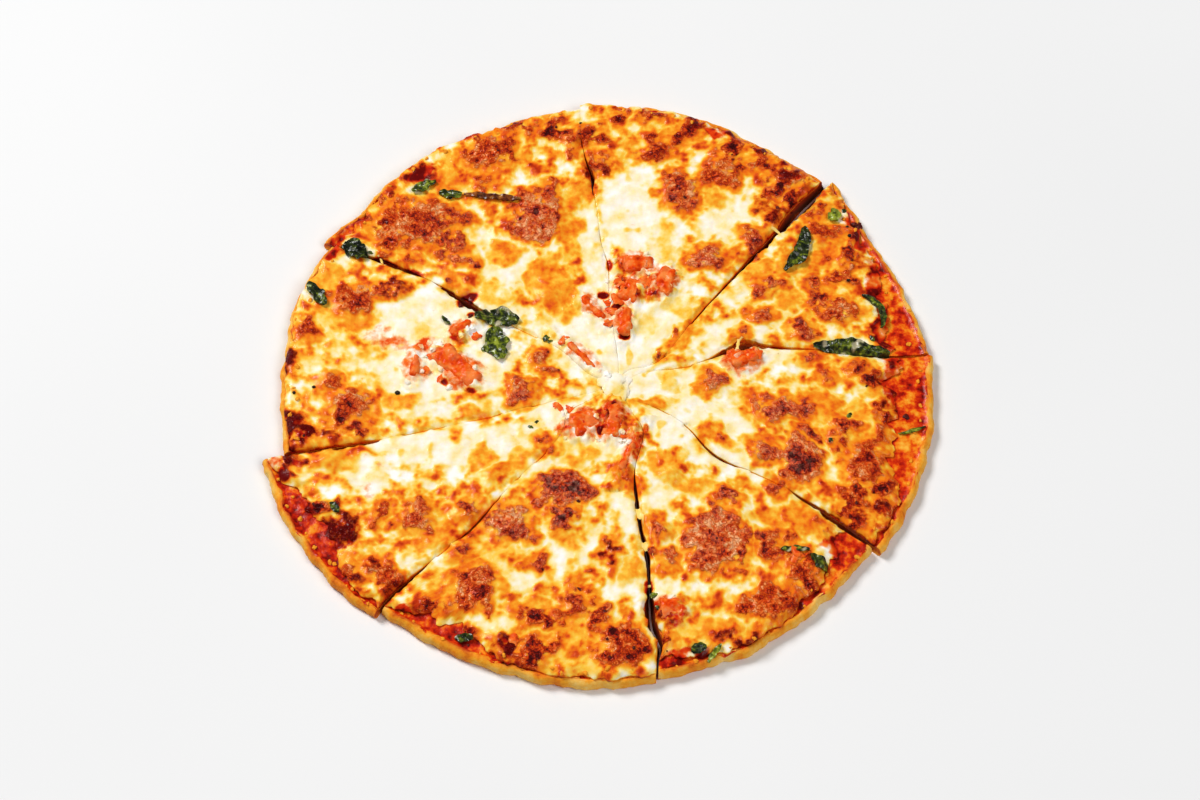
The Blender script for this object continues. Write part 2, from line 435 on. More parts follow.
class SlicePlan:
    """The plan of one slice: two cut sides and a piece of the rim."""

    def __init__(self, number: int) -> None:
        """Draws the plan.

        Args:
            number: The slice, counted clockwise from the far left.
        """
        self.number = number
        self.radii, self.margins = RIM_RADII[number - 1], CHEESE_MARGINS[number - 1]
        self.bakes = CUT_BAKE[number - 2], CUT_BAKE[number - 1]
        before, after = CUTS[number - 2], CUTS[number - 1]
        first, last = cut_side(before, 1, self.radii[0]), cut_side(after, -1, self.radii[-1])
        ways = [unit(line[8, :2] - CUTS_MEET) for line in (first, last)]
        half_angle = math.acos(max(-1.0, min(1.0, ways[0] @ ways[1]))) / 2
        gap = (before[0][2] + after[0][2]) / 4 + TIP_CLEARANCE
        self.tip = CUTS_MEET + unit(ways[0] + ways[1]) * gap / math.sin(half_angle)
        self.first, self.last = CutSide(self.tip, first), CutSide(self.tip, last)
        self.length = (self.first.length + self.last.length) / 2
        self.from_angle = math.atan2(first[-1, 1], first[-1, 0])
        self.sweep = math.remainder(math.atan2(last[-1, 1], last[-1, 0]) - self.from_angle, 2 * math.pi)
        self.ticks = np.linspace(-0.05, 1.05, 331)
        angles = self.from_angle + self.sweep * self.ticks
        turns = [(math.cos(angle) * RIPPLE_DENSITY, math.sin(angle) * RIPPLE_DENSITY) for angle in angles]
        self.ripples = np.array([noise.noise(Vector((*turn, number))) for turn in turns])

    def rim(self, across: Array) -> Array:
        """Works out points of the rim.

        Args:
            across: Their shares of the way from the first corner to the last.

        Returns:
            The points.
        """
        angle = self.from_angle + self.sweep * across
        ripple = np.interp(across, self.ticks, self.ripples) * RIM_RIPPLE * 4 * across * (1 - across)
        radius = read_steps(self.radii, across) + ripple
        return np.stack([np.cos(angle), np.sin(angle)], axis=-1) * radius[..., None]

    def width(self, along: Array) -> Array:
        """Returns the slice's width at those shares of the way out."""
        return np.linalg.norm(self.last.at(along) - self.first.at(along), axis=-1)

    def half_gap(self, across: Array, along: Array) -> Array:
        """Returns half the gap of the cut on the nearer side, at those shares across and out."""
        return np.where(across < 0.5, self.first.half_gap(along), self.last.half_gap(along))

    def wall_bake(self, across: Array) -> Array:
        """Returns how dark the walls of the cut on the nearer side are."""
        return np.where(across < 0.5, *self.bakes)

    def place(self, across: Array, along: Array) -> Array:
        """Works out points of the plan.

        Args:
            across: Their shares of the way across the slice.
            along: Their shares of the way out from its tip.

        Returns:
            The points.
        """
        share = across[..., None]
        chord = self.first.at(along) * (1 - share) + self.last.at(along) * share
        ends = self.first.at(np.ones_like(along)) * (1 - share) + self.last.at(np.ones_like(along)) * share
        return chord + (self.rim(across) - ends) * along[..., None] ** 2


@dataclass
class Baking:
    """What the oven has done at some places of the top. Each value runs from 0 to about 1.

    golden goes from a white pool to red-orange, crisp says how much of it is browned skin, and dark how dark
    that skin is. red says how much sauce shows, and milky how much fat has parted from the cheese and lies
    over the skin.
    """

    golden: Array
    crisp: Array
    dark: Array
    red: Array
    milky: Array


@dataclass
class TopOfPizza:
    """Where the top is white, golden, browned, red with sauce, or raised. Its lengths are in millimetres."""

    plans: list[SlicePlan]
    dice: list[tuple]
    bend: float = 4.4
    bend_width: float = 12.0
    pool_bend: float = 4.5
    curl: float = 1.9
    curl_width: float = 4.2
    skin_from: float = 0.66
    halo: float = 4.8
    halo_most: float = 0.76
    spread: float = 6.0
    spread_from: float = 0.92
    crisp_edge: float = 4.0
    pool_edge: float = 5.0
    pool_tone: float = 0.15
    ground_tone: float = 0.46
    seed_from: float = 0.55
    stain_edge: float = 6.0
    seep: float = 3.0
    rim_band: float = 12.0
    hollow_edge: float = 1.6
    hollow_slope: float = 2.5
    hollow_depth: float = 1.1
    milk: float = 0.11
    milk_from: float = 80.0
    milk_fade: float = 50.0
    collar: float = 2.1
    mound_foot: float = 5.0
    mound_slope: float = 6.0

    def __post_init__(self) -> None:
        """Reads the rim's radius all round, from the slices' plans."""
        shares = np.linspace(0, 1, 61)
        rims = np.vstack([plan.rim(shares) for plan in self.plans])
        angles = np.arctan2(rims[:, 1], rims[:, 0])
        order = np.argsort(angles)
        self.angles, self.radii = angles[order], np.hypot(*rims.T)[order]
        self.soaked = [(x, y, wide + self.seep, high + self.seep, *rest)
                       for x, y, wide, high, *rest in self.dice]

    def depth(self, x: Array, y: Array) -> Array:
        """Returns how far inside the rim's edge each place is."""
        return np.interp(np.arctan2(y, x), self.angles, self.radii, period=2 * math.pi) - np.hypot(x, y)

    @staticmethod
    def ellipses(rows: tuple, x: Array, y: Array) -> Iterator[tuple]:
        """Goes through ellipses, each x, y, half width, half height, turn and strength.

        Args:
            rows: The ellipses.
            x: Places across.
            y: Places along.

        Yields:
            The numbers of the places near the ellipse, how far inside its outline they are, its smaller half
            and its strength.
        """
        for cx, cy, wide, high, turn, strength in rows:
            reach = wide + high + 6
            near = np.nonzero((abs(x - cx) < reach) & (abs(y - cy) < reach))[0]
            dx, dy = x[near] - cx, y[near] - cy
            c, s = math.cos(math.radians(turn)), math.sin(math.radians(turn))
            away = np.hypot((dx * c + dy * s) / wide, (dy * c - dx * s) / high)
            yield near, (1 - away) * min(wide, high), min(wide, high), strength

    def strongest(self, rows: tuple, x: Array, y: Array, edge: float) -> Array:
        """Lays ellipses over each other, and keeps the strongest at each place.

        Args:
            rows: The ellipses.
            x: Places across.
            y: Places along.
            edge: The width over which each fades at its outline.

        Returns:
            The strength at each place.
        """
        found = np.zeros_like(x)
        for near, inside, _, strength in self.ellipses(rows, x, y):
            found[near] = np.maximum(found[near], strength * smoothstep(inside / edge + 0.5))
        return found

    def browning(self, x: Array, y: Array) -> tuple[Array, Array, Array]:
        """Lays the browned patches over each other.

        Args:
            x: Places across.
            y: Places along.

        Returns:
            How golden the patches and their halos are, how dark their skin is, and how far inside one each
            place is.
        """
        golden, dark, inside = np.zeros_like(x), np.full_like(x, self.skin_from), np.full_like(x, -9.0)
        for near, depth, short, strength in self.ellipses(BROWNED, x, y):
            halo = min(strength, self.halo_most) * smoothstep((depth + self.halo) / (self.halo + 1))
            golden[near] = np.maximum(golden[near], halo)
            if strength > self.skin_from:
                inside[near] = np.maximum(inside[near], depth + self.spread * (strength - self.spread_from))
                core = strength * smoothstep((depth + 2.0) / (0.7 * short + 2))
                dark[near] = np.maximum(dark[near], core)
        return golden, dark, inside

    def looks(self, x: Array, y: Array) -> Baking:
        """Works out how the cheese has baked.

        Args:
            x: Places across.
            y: Places along.

        Returns:
            The baking at each place.
        """
        bend_x, bend_y = (warp.layered(x, y, self.bend_width, 2) for warp in (WARP_X, WARP_Y))
        curl_x = WARP_Y.layered(x + 60, y, self.curl_width, 2)
        curl_y = WARP_X.layered(x, y + 60, self.curl_width, 2)
        wx, wy = x + self.bend * bend_x + self.curl * curl_x, y + self.bend * bend_y + self.curl * curl_y
        golden, dark, inside = self.browning(wx, wy)
        rim = 1 - smoothstep((self.depth(x, y) - 3) / self.rim_band)
        blotch, broad = BLOTCH.layered(x, y, 7, 3), EDGE.layered(x, y, 18, 2)
        fine = FINE.layered(x, y, 2.6, 2)
        pool = self.strongest(PALE, x + self.pool_bend * bend_x, y + self.pool_bend * bend_y, self.pool_edge)
        ground = self.ground_tone + 0.22 * broad + 0.55 * blotch + 0.16 * fine + 0.05 * rim
        seed = smoothstep((BLOTCH.at(x + 200, y, 7) - self.seed_from) / 0.25)
        ground = ground * (1 - pool) + (self.pool_tone + 0.16 * blotch + 0.3 * seed) * pool
        crisp = smoothstep((inside + 3.4 * blotch + 1.2 * fine) / self.crisp_edge)
        seeped = 0.75 * self.strongest(self.soaked, wx, wy, self.stain_edge)
        red = np.maximum(self.strongest(STAINED, wx, wy, self.stain_edge), seeped)
        stain = red * smoothstep((red + 0.35 * blotch) / 0.8) + 0.30 * rim * smoothstep(0.5 + blotch)
        hollow = self.strongest(HOLLOWS, x, y, self.hollow_edge)
        golden = golden * (1 + 0.25 * blotch + 0.15 * fine)
        golden, stain = np.maximum(np.maximum(golden, ground), 0.75 * hollow), np.maximum(stain, hollow)
        milky = self.milk * (1 - smoothstep((np.hypot(x, y) - self.milk_from) / self.milk_fade))
        return Baking(np.clip(golden, 0, 1), crisp * (1 - hollow), np.clip(dark + 0.22 * blotch, 0.5, 1.2),
                      np.clip(stain, 0, 1), milky)

    def height(self, x: Array, y: Array) -> Array:
        """Works out the height of the cheese's top, away from its edges.

        Args:
            x: Places across.
            y: Places along.

        Returns:
            The height at each place.
        """
        height = CHEESE_TOP + WAVE_RISE * read_lattice(WAVES, x, y)
        for cx, cy, radius in BLISTERS:
            height = height + BLISTER_RISE * (1 - smoothstep(np.hypot(x - cx, y - cy) / radius))
        ragged = 1 + 0.7 * BLOTCH.layered(x, y, 4, 2)
        mound = np.zeros_like(x)
        for near, inside, _, _ in self.ellipses(self.dice, x, y):
            mound[near] = np.maximum(mound[near], smoothstep((inside + self.mound_foot) / self.mound_slope))
        sunk = self.hollow_depth * self.strongest(HOLLOWS, x, y, self.hollow_slope)
        return height + self.collar * ragged * mound - sunk

    @staticmethod
    def wrinkles(x: Array, y: Array) -> Array:
        """Returns the folds of a browned skin, low in the creases and high between them."""
        return 0.5 - abs(BLOTCH.at(x, y, 3.6)) + 0.6 * (0.4 - abs(FINE.at(x, y, 2.2)))

    def relief(self, x: Array, y: Array, baking: Baking) -> Array:
        """Returns the fine relief: smooth where the cheese has pooled, wrinkled where it has browned."""
        swell = 0.40 * BLOTCH.layered(x, y, 8, 3) + 0.7 * (baking.golden - 0.4)
        return swell + baking.crisp * (0.35 + 0.8 * self.wrinkles(x, y))


def outline_of(node: str) -> tuple:
    """Reads the ellipse that a solid covers on the plan.

    Args:
        node: The solid's node.

    Returns:
        Its x, y, half width, half height and turn, and a strength of 1.
    """
    spots = to_plan(coordinates(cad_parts[node].data))[:, :2]
    low, high = spots.min(axis=0), spots.max(axis=0)
    middle = (low + high) / 2
    lean = np.linalg.svd(spots - spots.mean(axis=0), full_matrices=False)[2][0]
    along, aside = (spots - middle) @ lean, (spots - middle) @ np.array((-lean[1], lean[0]))
    turn = math.degrees(math.atan2(lean[1], lean[0]))
    return (*middle, np.ptp(along) / 2, np.ptp(aside) / 2, turn, 1.0)


def crust_height(depth: Array, x: Array, y: Array) -> Array:
    """Works out the crust's height: flat, with a low rounded wavy rim.

    Args:
        depth: How far inside its outer edge the places are.
        x: Places across.
        y: Places along.

    Returns:
        The height at each place.
    """
    share = np.clip(depth / RIM_WIDTH, 0, 1)
    inner = CRUST_TOP + (RIM_TOP - CRUST_TOP) * smoothstep((1 - share) * 2)
    outer = RIM_SIDE + (RIM_TOP - RIM_SIDE) * np.sqrt(np.clip(1 - (1 - share * 2) ** 2, 0, 1))
    waves = RIM_WAVE * read_lattice(RIM_WAVES, x, y) * smoothstep(1 - depth / RIM_WIDTH)
    return np.where(share > 0.5, inner, outer) + waves


def knobbly(depth: Array, x: Array, y: Array) -> Array:
    """Returns how far the rim's knobs stand up from the crust's height."""
    return smoothstep(1 - depth / RIM_REACH) * (0.35 * EDGE.layered(x, y, 5, 3) + 0.1)


# ---------------------------------------------------------------------------------------------- the finishes


def linear(colour: str) -> tuple[float, float, float, float]:
    """Returns an sRGB hex colour as linear RGB, with an alpha of 1."""
    shares = [int(colour[i:i + 2], 16) / 255 for i in (1, 3, 5)]
    return (*(s / 12.92 if s <= 0.04045 else ((s + 0.055) / 1.055) ** 2.4 for s in shares), 1.0)


class Painter:
    """Builds one material's pattern. A method that adds a node returns the output that is wanted of it."""

    def __init__(self, material: Material) -> None:
        """Starts on a new material.

        Args:
            material: The material.
        """
        material.use_nodes = True
        self.tree = material.node_tree
        self.shader = self.tree.nodes["Principled BSDF"]

    def add(self, kind: str, inputs: dict, output: int | str = 0, stops: tuple = (),
            **settings: str) -> Socket:
        """Adds a node.

        Args:
            kind: The node's type.
            inputs: For each input's name or number, the socket that feeds it or its value.
            output: The name or number of the wanted output.
            stops: A colour ramp's stops, each a position and a hex colour.
            settings: The node's own settings.

        Returns:
            The output.
        """
        made = self.tree.nodes.new(f"ShaderNode{kind}")
        for name, value in settings.items():
            setattr(made, name, value)
        for name, value in inputs.items():
            if isinstance(value, Socket):
                self.tree.links.new(value, made.inputs[name])
            else:
                made.inputs[name].default_value = value
        for i, (position, colour) in enumerate(stops):
            element = made.color_ramp.elements[i] if i < 2 else made.color_ramp.elements.new(position)
            element.position, element.color = position, linear(colour)
        return made.outputs[output]

    def feed(self, sockets: dict[str, Socket]) -> None:
        """Links the shader's inputs of those names to the sockets."""
        for name, socket in sockets.items():
            self.tree.links.new(socket, self.shader.inputs[name])

    def held(self, *names: str) -> list[Socket]:
        """Returns the values of those names that the mesh holds for each of its points."""
        return [self.add("Attribute", {}, "Fac", attribute_name=name) for name in names]

    def grains(self, width: float, detail: float = 2.0, rough: float = 0.5, bend: float = 0.0) -> Socket:
        """Adds noise from 0 to 1, with grains of a real width.

        Args:
            width: The grains' width in millimetres.
            detail: How many finer layers it has.
            rough: How strong each finer layer is.
            bend: How far its grains are distorted.

        Returns:
            The noise.
        """
        places = self.add("TexCoord", {}, "Object")
        return self.add("TexNoise", {"Vector": places, "Scale": 1 / (width * MM), "Detail": detail,
                                     "Roughness": rough, "Distortion": bend}, "Fac")

    def centred(self, value: Socket) -> Socket:
        """Returns a value from 0 to 1 as one about 0."""
        return self.add("Math", {0: value, 1: 0.5}, operation="SUBTRACT")

    def times(self, value: Socket, factor: Socket) -> Socket:
        """Returns value * factor."""
        return self.add("Math", {0: value, 1: factor}, operation="MULTIPLY")

    def weighed(self, value: Socket, weight: float | Socket, added: float | Socket) -> Socket:
        """Returns value * weight + added."""
        return self.add("Math", {0: value, 1: weight, 2: added}, operation="MULTIPLY_ADD")

    def spread(self, value: Socket, start: float, end: float, first: float = 0.0,
               last: float = 1.0) -> Socket:
        """Returns what goes evenly from first to last while value goes from start to end, and stays there."""
        return self.add("MapRange", {"Value": value, "From Min": start, "From Max": end, "To Min": first,
                                     "To Max": last})

    def ramp(self, value: Socket, stops: tuple) -> Socket:
        """Returns the colour at value on a ramp of those stops."""
        return self.add("ValToRGB", {"Fac": value}, stops=stops)

    def mix(self, share: Socket, under: Socket, over: Socket | tuple) -> Socket:
        """Returns one colour with that share of another over it."""
        return self.add("Mix", {0: share, 6: under, 7: over}, 2, data_type="RGBA")

    def bump(self, relief: Socket, strength: float, depth: float) -> Socket:
        """Returns the normals of a relief of that strength, and of a depth in millimetres."""
        return self.add("Bump", {"Strength": strength, "Distance": depth * MM, "Height": relief})


@dataclass(frozen=True)
class Finish:
    """A material: what the real one is, with its typical gloss. Each kind adds its own pattern in paint."""

    name: str
    roughness: float
    ior: float = 1.45
    shine: float = 0.25
    coat: float = 0.0
    coat_roughness: float = 0.1
    translucency: float = 0.0
    light_reach: tuple[float, float, float] = (1.0, 0.4, 0.15)

    def build(self) -> Material:
        """Returns the material, with its pattern."""
        material = bpy.data.materials.new(self.name)
        painter = Painter(material)
        for name, value in {"Roughness": self.roughness, "IOR": self.ior, "Specular IOR Level": self.shine,
                            "Coat Weight": self.coat, "Coat Roughness": self.coat_roughness,
                            "Subsurface Weight": self.translucency,
                            "Subsurface Radius": self.light_reach, "Subsurface Scale": MM}.items():
            painter.shader.inputs[name].default_value = value
        self.paint(painter)
        return material

    def paint(self, painter: Painter) -> None:
        """Adds the pattern of colour and relief.

        Args:
            painter: Builds it.
        """
        raise NotImplementedError


@dataclass(frozen=True)
class MeltedCheese(Finish):
    """Mozzarella that has melted and blistered under top heat.

    It has pooled smooth and cream-white, turned lemon and golden where it is thin, and where it stood up it
    has browned to a wrinkled skin, rust to maroon, whose oiled ridges catch the light.
    """

    wrinkle: float = 1.9
    cloud: float = 2.5
    drift: float = 7.0
    swing: tuple[float, float] = (0.12, 0.42)
    darkening: tuple[float, float] = (1.45, -0.57)
    skin_weights: tuple[float, float, float] = (0.6, 0.8, -0.27)
    edge_weights: tuple[float, float] = (0.8, 0.9)
    fat_amount: float = 2.6
    relief: tuple[float, float] = (0.8, 0.7)
    ground_stops: tuple = ((0.0, "#FFFBF4"), (0.12, "#FEF3DC"), (0.24, "#FDEBB8"), (0.36, "#FBDC80"),
                           (0.48, "#FAC848"), (0.60, "#F7A62C"), (0.72, "#F1831A"), (0.84, "#E35E1E"),
                           (1.0, "#BE3610"))
    skin_stops: tuple = ((0.0, "#FAB884"), (0.15, "#F59658"), (0.29, "#EE7A34"), (0.43, "#E45E1C"),
                         (0.57, "#D64A16"), (0.70, "#B83414"), (0.84, "#8C2016"), (1.0, "#501212"))
    fat: str = "#F4BA9C"
    sauce_stops: tuple = ((0.0, "#F9B670"), (0.35, "#F4842E"), (0.58, "#E85010"), (0.78, "#D2300C"),
                          (0.92, "#A81C0A"), (1.0, "#700A08"))

    def paint(self, painter: Painter) -> None:
        """Lays the browned skin over the molten ground, and the sauce over both."""
        golden, crisp, dark, red, milky = painter.held("golden", "crisp", "dark", "red", "milky")
        cloud = painter.centred(painter.grains(self.cloud, 3.0, 0.6))
        drift = painter.centred(painter.grains(self.drift, 1.0))
        ridges = self.ridges(painter)
        tone = painter.weighed(cloud, painter.spread(golden, 0, 1, *self.swing), golden)
        ground = painter.ramp(tone, self.ground_stops)
        depth = painter.weighed(dark, *self.darkening)
        for pattern, weight in zip((drift, cloud, ridges), self.skin_weights):
            depth = painter.weighed(pattern, weight, depth)
        film = painter.times(milky, painter.spread(cloud, -0.2, 0.1, self.fat_amount, 0.0))
        skin = painter.mix(film, painter.ramp(depth, self.skin_stops), linear(self.fat))
        for pattern, weight in zip((drift, cloud), self.edge_weights):
            crisp = painter.weighed(pattern, weight, crisp)
        browned = painter.spread(crisp, 0.3, 0.75)
        cheese = painter.mix(browned, ground, skin)
        sauce = painter.ramp(painter.weighed(red, 0.3, tone), self.sauce_stops)
        stain = painter.spread(painter.weighed(cloud, 1.2, red), 0.2, 0.8)
        gloss = painter.spread(cloud, -0.2, 0.2, self.roughness - 0.06, self.roughness + 0.12)
        relief = painter.weighed(cloud, 0.35, painter.times(ridges, browned))
        bump = painter.bump(relief, *self.relief)
        painter.feed({"Base Color": painter.mix(stain, cheese, sauce), "Roughness": gloss, "Normal": bump,
                      "Coat Normal": bump})

    def ridges(self, painter: Painter) -> Socket:
        """Adds the ridges of a skin that has shrunk: 0 in the winding folds between them and 1 on top."""
        centred = painter.centred(painter.grains(self.wrinkle, 1.5, 0.6, 0.6))
        return painter.spread(painter.add("Math", {0: centred}, operation="ABSOLUTE"), 0.0, 0.11)


@dataclass(frozen=True)
class BakedSauce(Finish):
    """Crushed tomato, cooked down in the oven: glossy and lumpy, orange where its oil has parted from it."""

    dulling: float = -0.38
    lift: float = 0.19
    stops: tuple = ((0.25, "#6A0A04"), (0.38, "#B41C06"), (0.48, "#D83A0A"), (0.56, "#EA640E"),
                    (0.66, "#F49420"), (0.8, "#F9BC48"))

    def paint(self, painter: Painter) -> None:
        """Makes lumps, duller where the cheese beside them is golden."""
        lumps = painter.grains(4.0, 4.0, 0.6)
        tone = painter.weighed(*painter.held("golden"), self.dulling, lumps)
        lifted = painter.add("Math", {0: tone, 1: self.lift}, operation="ADD")
        colour = painter.ramp(lifted, self.stops)
        painter.feed({"Base Color": colour, "Normal": painter.bump(lumps, 0.7, 0.9)})


@dataclass(frozen=True)
class BakedDough(Finish):
    """Wheat dough, rolled thin and baked crisp: matt and floury, pale inside and golden where it is thin."""

    sauce: str = "#C23A10"
    stops: tuple = ((0.0, "#FBE4B0"), (0.25, "#F9CA68"), (0.45, "#F7AC2C"), (0.6, "#EE8A18"),
                    (0.78, "#C2580A"), (1.0, "#4A200C"))

    def paint(self, painter: Painter) -> None:
        """Browns the dough by its bake, and stains it with sauce."""
        bake, red = painter.held("bake", "red")
        pores = painter.grains(1.3, 4.0, 0.65)
        tone = painter.weighed(painter.centred(pores), 0.45, bake)
        colour = painter.mix(red, painter.ramp(tone, self.stops), linear(self.sauce))
        painter.feed({"Base Color": colour, "Normal": painter.bump(pores, 0.55, 0.4)})


@dataclass(frozen=True)
class TomatoFlesh(Finish):
    """Raw tomato, diced and baked soft: wet, and light goes a little way into it."""

    stops: tuple = ((0.25, "#C43008"), (0.40, "#EA4E0C"), (0.53, "#F46C1C"), (0.66, "#F68C42"),
                    (0.8, "#FAB888"))
    film: str = "#F7A05A"

    def paint(self, painter: Painter) -> None:
        """Makes fibres, and a film of cheese over some of them."""
        fibres = painter.grains(3.5, 3.0, 0.55)
        colour = painter.mix(*painter.held("veil"), painter.ramp(fibres, self.stops), linear(self.film))
        painter.feed({"Base Color": colour, "Normal": painter.bump(fibres, 0.5, 0.6)})


@dataclass(frozen=True)
class WiltedSpinach(Finish):
    """A spinach leaf, wilted and oiled by the cheese: near black-green, brighter along its veins."""

    stops: tuple = ((0.2, "#080A06"), (0.42, "#161C10"), (0.58, "#36401A"), (0.70, "#6C781C"),
                    (0.82, "#A0AA3A"))
    scorched_stops: tuple = ((0.25, "#1E0C08"), (0.45, "#5A2412"), (0.6, "#96501E"), (0.8, "#C88A48"))
    film: str = "#D8CCA8"

    def paint(self, painter: Painter) -> None:
        """Makes crinkles and veins, scorched in places, and a film of cheese over some of them."""
        vein, fresh, scorch, veil = painter.held("vein", "fresh", "scorch", "veil")
        tone = painter.weighed(vein, 0.12, painter.grains(2.4, 3.0, 0.55))
        green = painter.ramp(painter.weighed(fresh, 0.26, tone), self.stops)
        bare = painter.mix(scorch, green, painter.ramp(tone, self.scorched_stops))
        colour = painter.mix(veil, bare, linear(self.film))
        painter.feed({"Base Color": colour, "Normal": painter.bump(tone, 0.6, 0.6)})


@dataclass(frozen=True)
class DarkSpeck(Finish):
    """Something small and dry that is nearly black: cheese burnt to a crust, or a cracked peppercorn."""

    stops: tuple = ((0.3, "#1E0806"), (0.5, "#541410"), (0.7, "#8E3018"))

    def paint(self, painter: Painter) -> None:
        """Makes grit."""
        grit = painter.grains(0.8, 3.0, 0.6)
        painter.feed({"Base Color": painter.ramp(grit, self.stops), "Normal": painter.bump(grit, 0.6, 0.3)})


@dataclass(frozen=True)
class WhiteSheet(Finish):
    """The studio's matt white table: near white, with the faintest unevenness of a painted sheet."""

    stops: tuple = ((0.3, "#EEEEEE"), (0.7, "#F1F1F1"))

    def paint(self, painter: Painter) -> None:
        """Makes broad faint clouds."""
        painter.feed({"Base Color": painter.ramp(painter.grains(300, 1.0), self.stops)})


# ---------------------------------------------------------------------------------------------- the modelling


def pick_only(thing: Thing) -> None:
    """Selects one object alone and makes it the active one."""
    bpy.ops.object.select_all(action="DESELECT")
    thing.select_set(True)
    bpy.context.view_layer.objects.active = thing


@contextmanager
def editing() -> Iterator[None]:
    """Keeps the active object in edit mode."""
    bpy.ops.object.mode_set(mode="EDIT")
    yield
    bpy.ops.object.mode_set(mode="OBJECT")


def shade(sharp: float) -> None:
    """Shades the picked object smooth, but for edges over that many degrees."""
    bpy.ops.object.shade_smooth_by_angle(angle=math.radians(sharp))


def coordinates(mesh: Mesh) -> Array:
    """Returns the places of the mesh's points, one row each."""
    flat = np.empty(len(mesh.vertices) * 3, np.float32)
    mesh.vertices.foreach_get("co", flat)
    return flat.reshape(-1, 3).astype(float)


def give_places(mesh: Mesh, places: Array) -> None:
    """Moves the mesh's points to those places."""
    mesh.vertices.foreach_set("co", places.astype(np.float32).ravel())
    mesh.update()


def give_values(mesh: Mesh, values: dict[str, Array | float]) -> None:
    """Stores values for each of the mesh's points, by name, for its material to read."""
    for name, value in values.items():
        kept = mesh.attributes.new(name, "FLOAT", "POINT")
        kept.data.foreach_set("value", np.broadcast_to(value, len(mesh.vertices)).astype(np.float32))


def pick_edges(mesh: Mesh, wanted: Callable[[Array, Array], Array]) -> None:
    """Selects the edges whose two ends pass a test.

    Args:
        mesh: The mesh, out of edit mode.
        wanted: The test, of the heights of the edges' first and second ends.
    """
    ends = np.empty(len(mesh.edges) * 2, np.int32)
    mesh.edges.foreach_get("vertices", ends)
    heights = coordinates(mesh)[:, 2]
    mesh.vertices.foreach_set("select", np.zeros(len(mesh.vertices), bool))
    mesh.polygons.foreach_set("select", np.zeros(len(mesh.polygons), bool))
    mesh.edges.foreach_set("select", wanted(heights[ends[::2]], heights[ends[1::2]]))


def upright(a: Array, b: Array) -> Array:
    """Returns whether an edge between those heights, on a piece one unit high, goes up."""
    return abs(a - b) > 0.5


def to_frame(places: Array) -> Array:
    """Returns places on the plan, with their heights, as metres in the frame."""
    return (places - np.array((*MIDDLE, 0.0))) * MM


def to_plan(places: Array) -> Array:
    """Returns places in the frame as millimetres on the plan."""
    return places / MM + np.array((*MIDDLE, 0.0))


def new_object(name: str, mesh: Mesh) -> Thing:
    """Makes an object with its own copy of a mesh, and puts it in the scene.

    Args:
        name: The object's name, and its mesh's.
        mesh: The mesh to copy.

    Returns:
        The object.
    """
    made = bpy.data.objects.new(name, mesh.copy())
    made.data.name = made.name
    bpy.context.scene.collection.objects.link(made)
    return made


def close_up(thing: Thing, merge: float, sharp: float) -> None:
    """Merges doubled points, turns the faces outwards and shades the object.

    Args:
        thing: A closed mesh object.
        merge: The distance, in millimetres, within which points become one.
        sharp: The angle over which an edge stays sharp, in degrees.
    """
    pick_only(thing)
    with editing():
        bpy.ops.mesh.select_all(action="SELECT")
        bpy.ops.mesh.remove_doubles(threshold=merge * MM)
        bpy.ops.mesh.normals_make_consistent(inside=False)
        bpy.ops.mesh.select_all(action="DESELECT")
    shade(sharp)


def settle(thing: Thing, material: Material, nodes: tuple[str, ...] = ()) -> None:
    """Gives a finished piece its material and its place in the frame's table.

    Args:
        thing: The piece.
        material: Its material.
        nodes: The solids that it stands for.
    """
    thing.data.materials.clear()
    thing.data.materials.append(material)
    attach(thing, BODY)
    if nodes:
        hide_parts(*nodes)
    LOG.info("%s: %d faces", thing.name, len(thing.data.polygons))


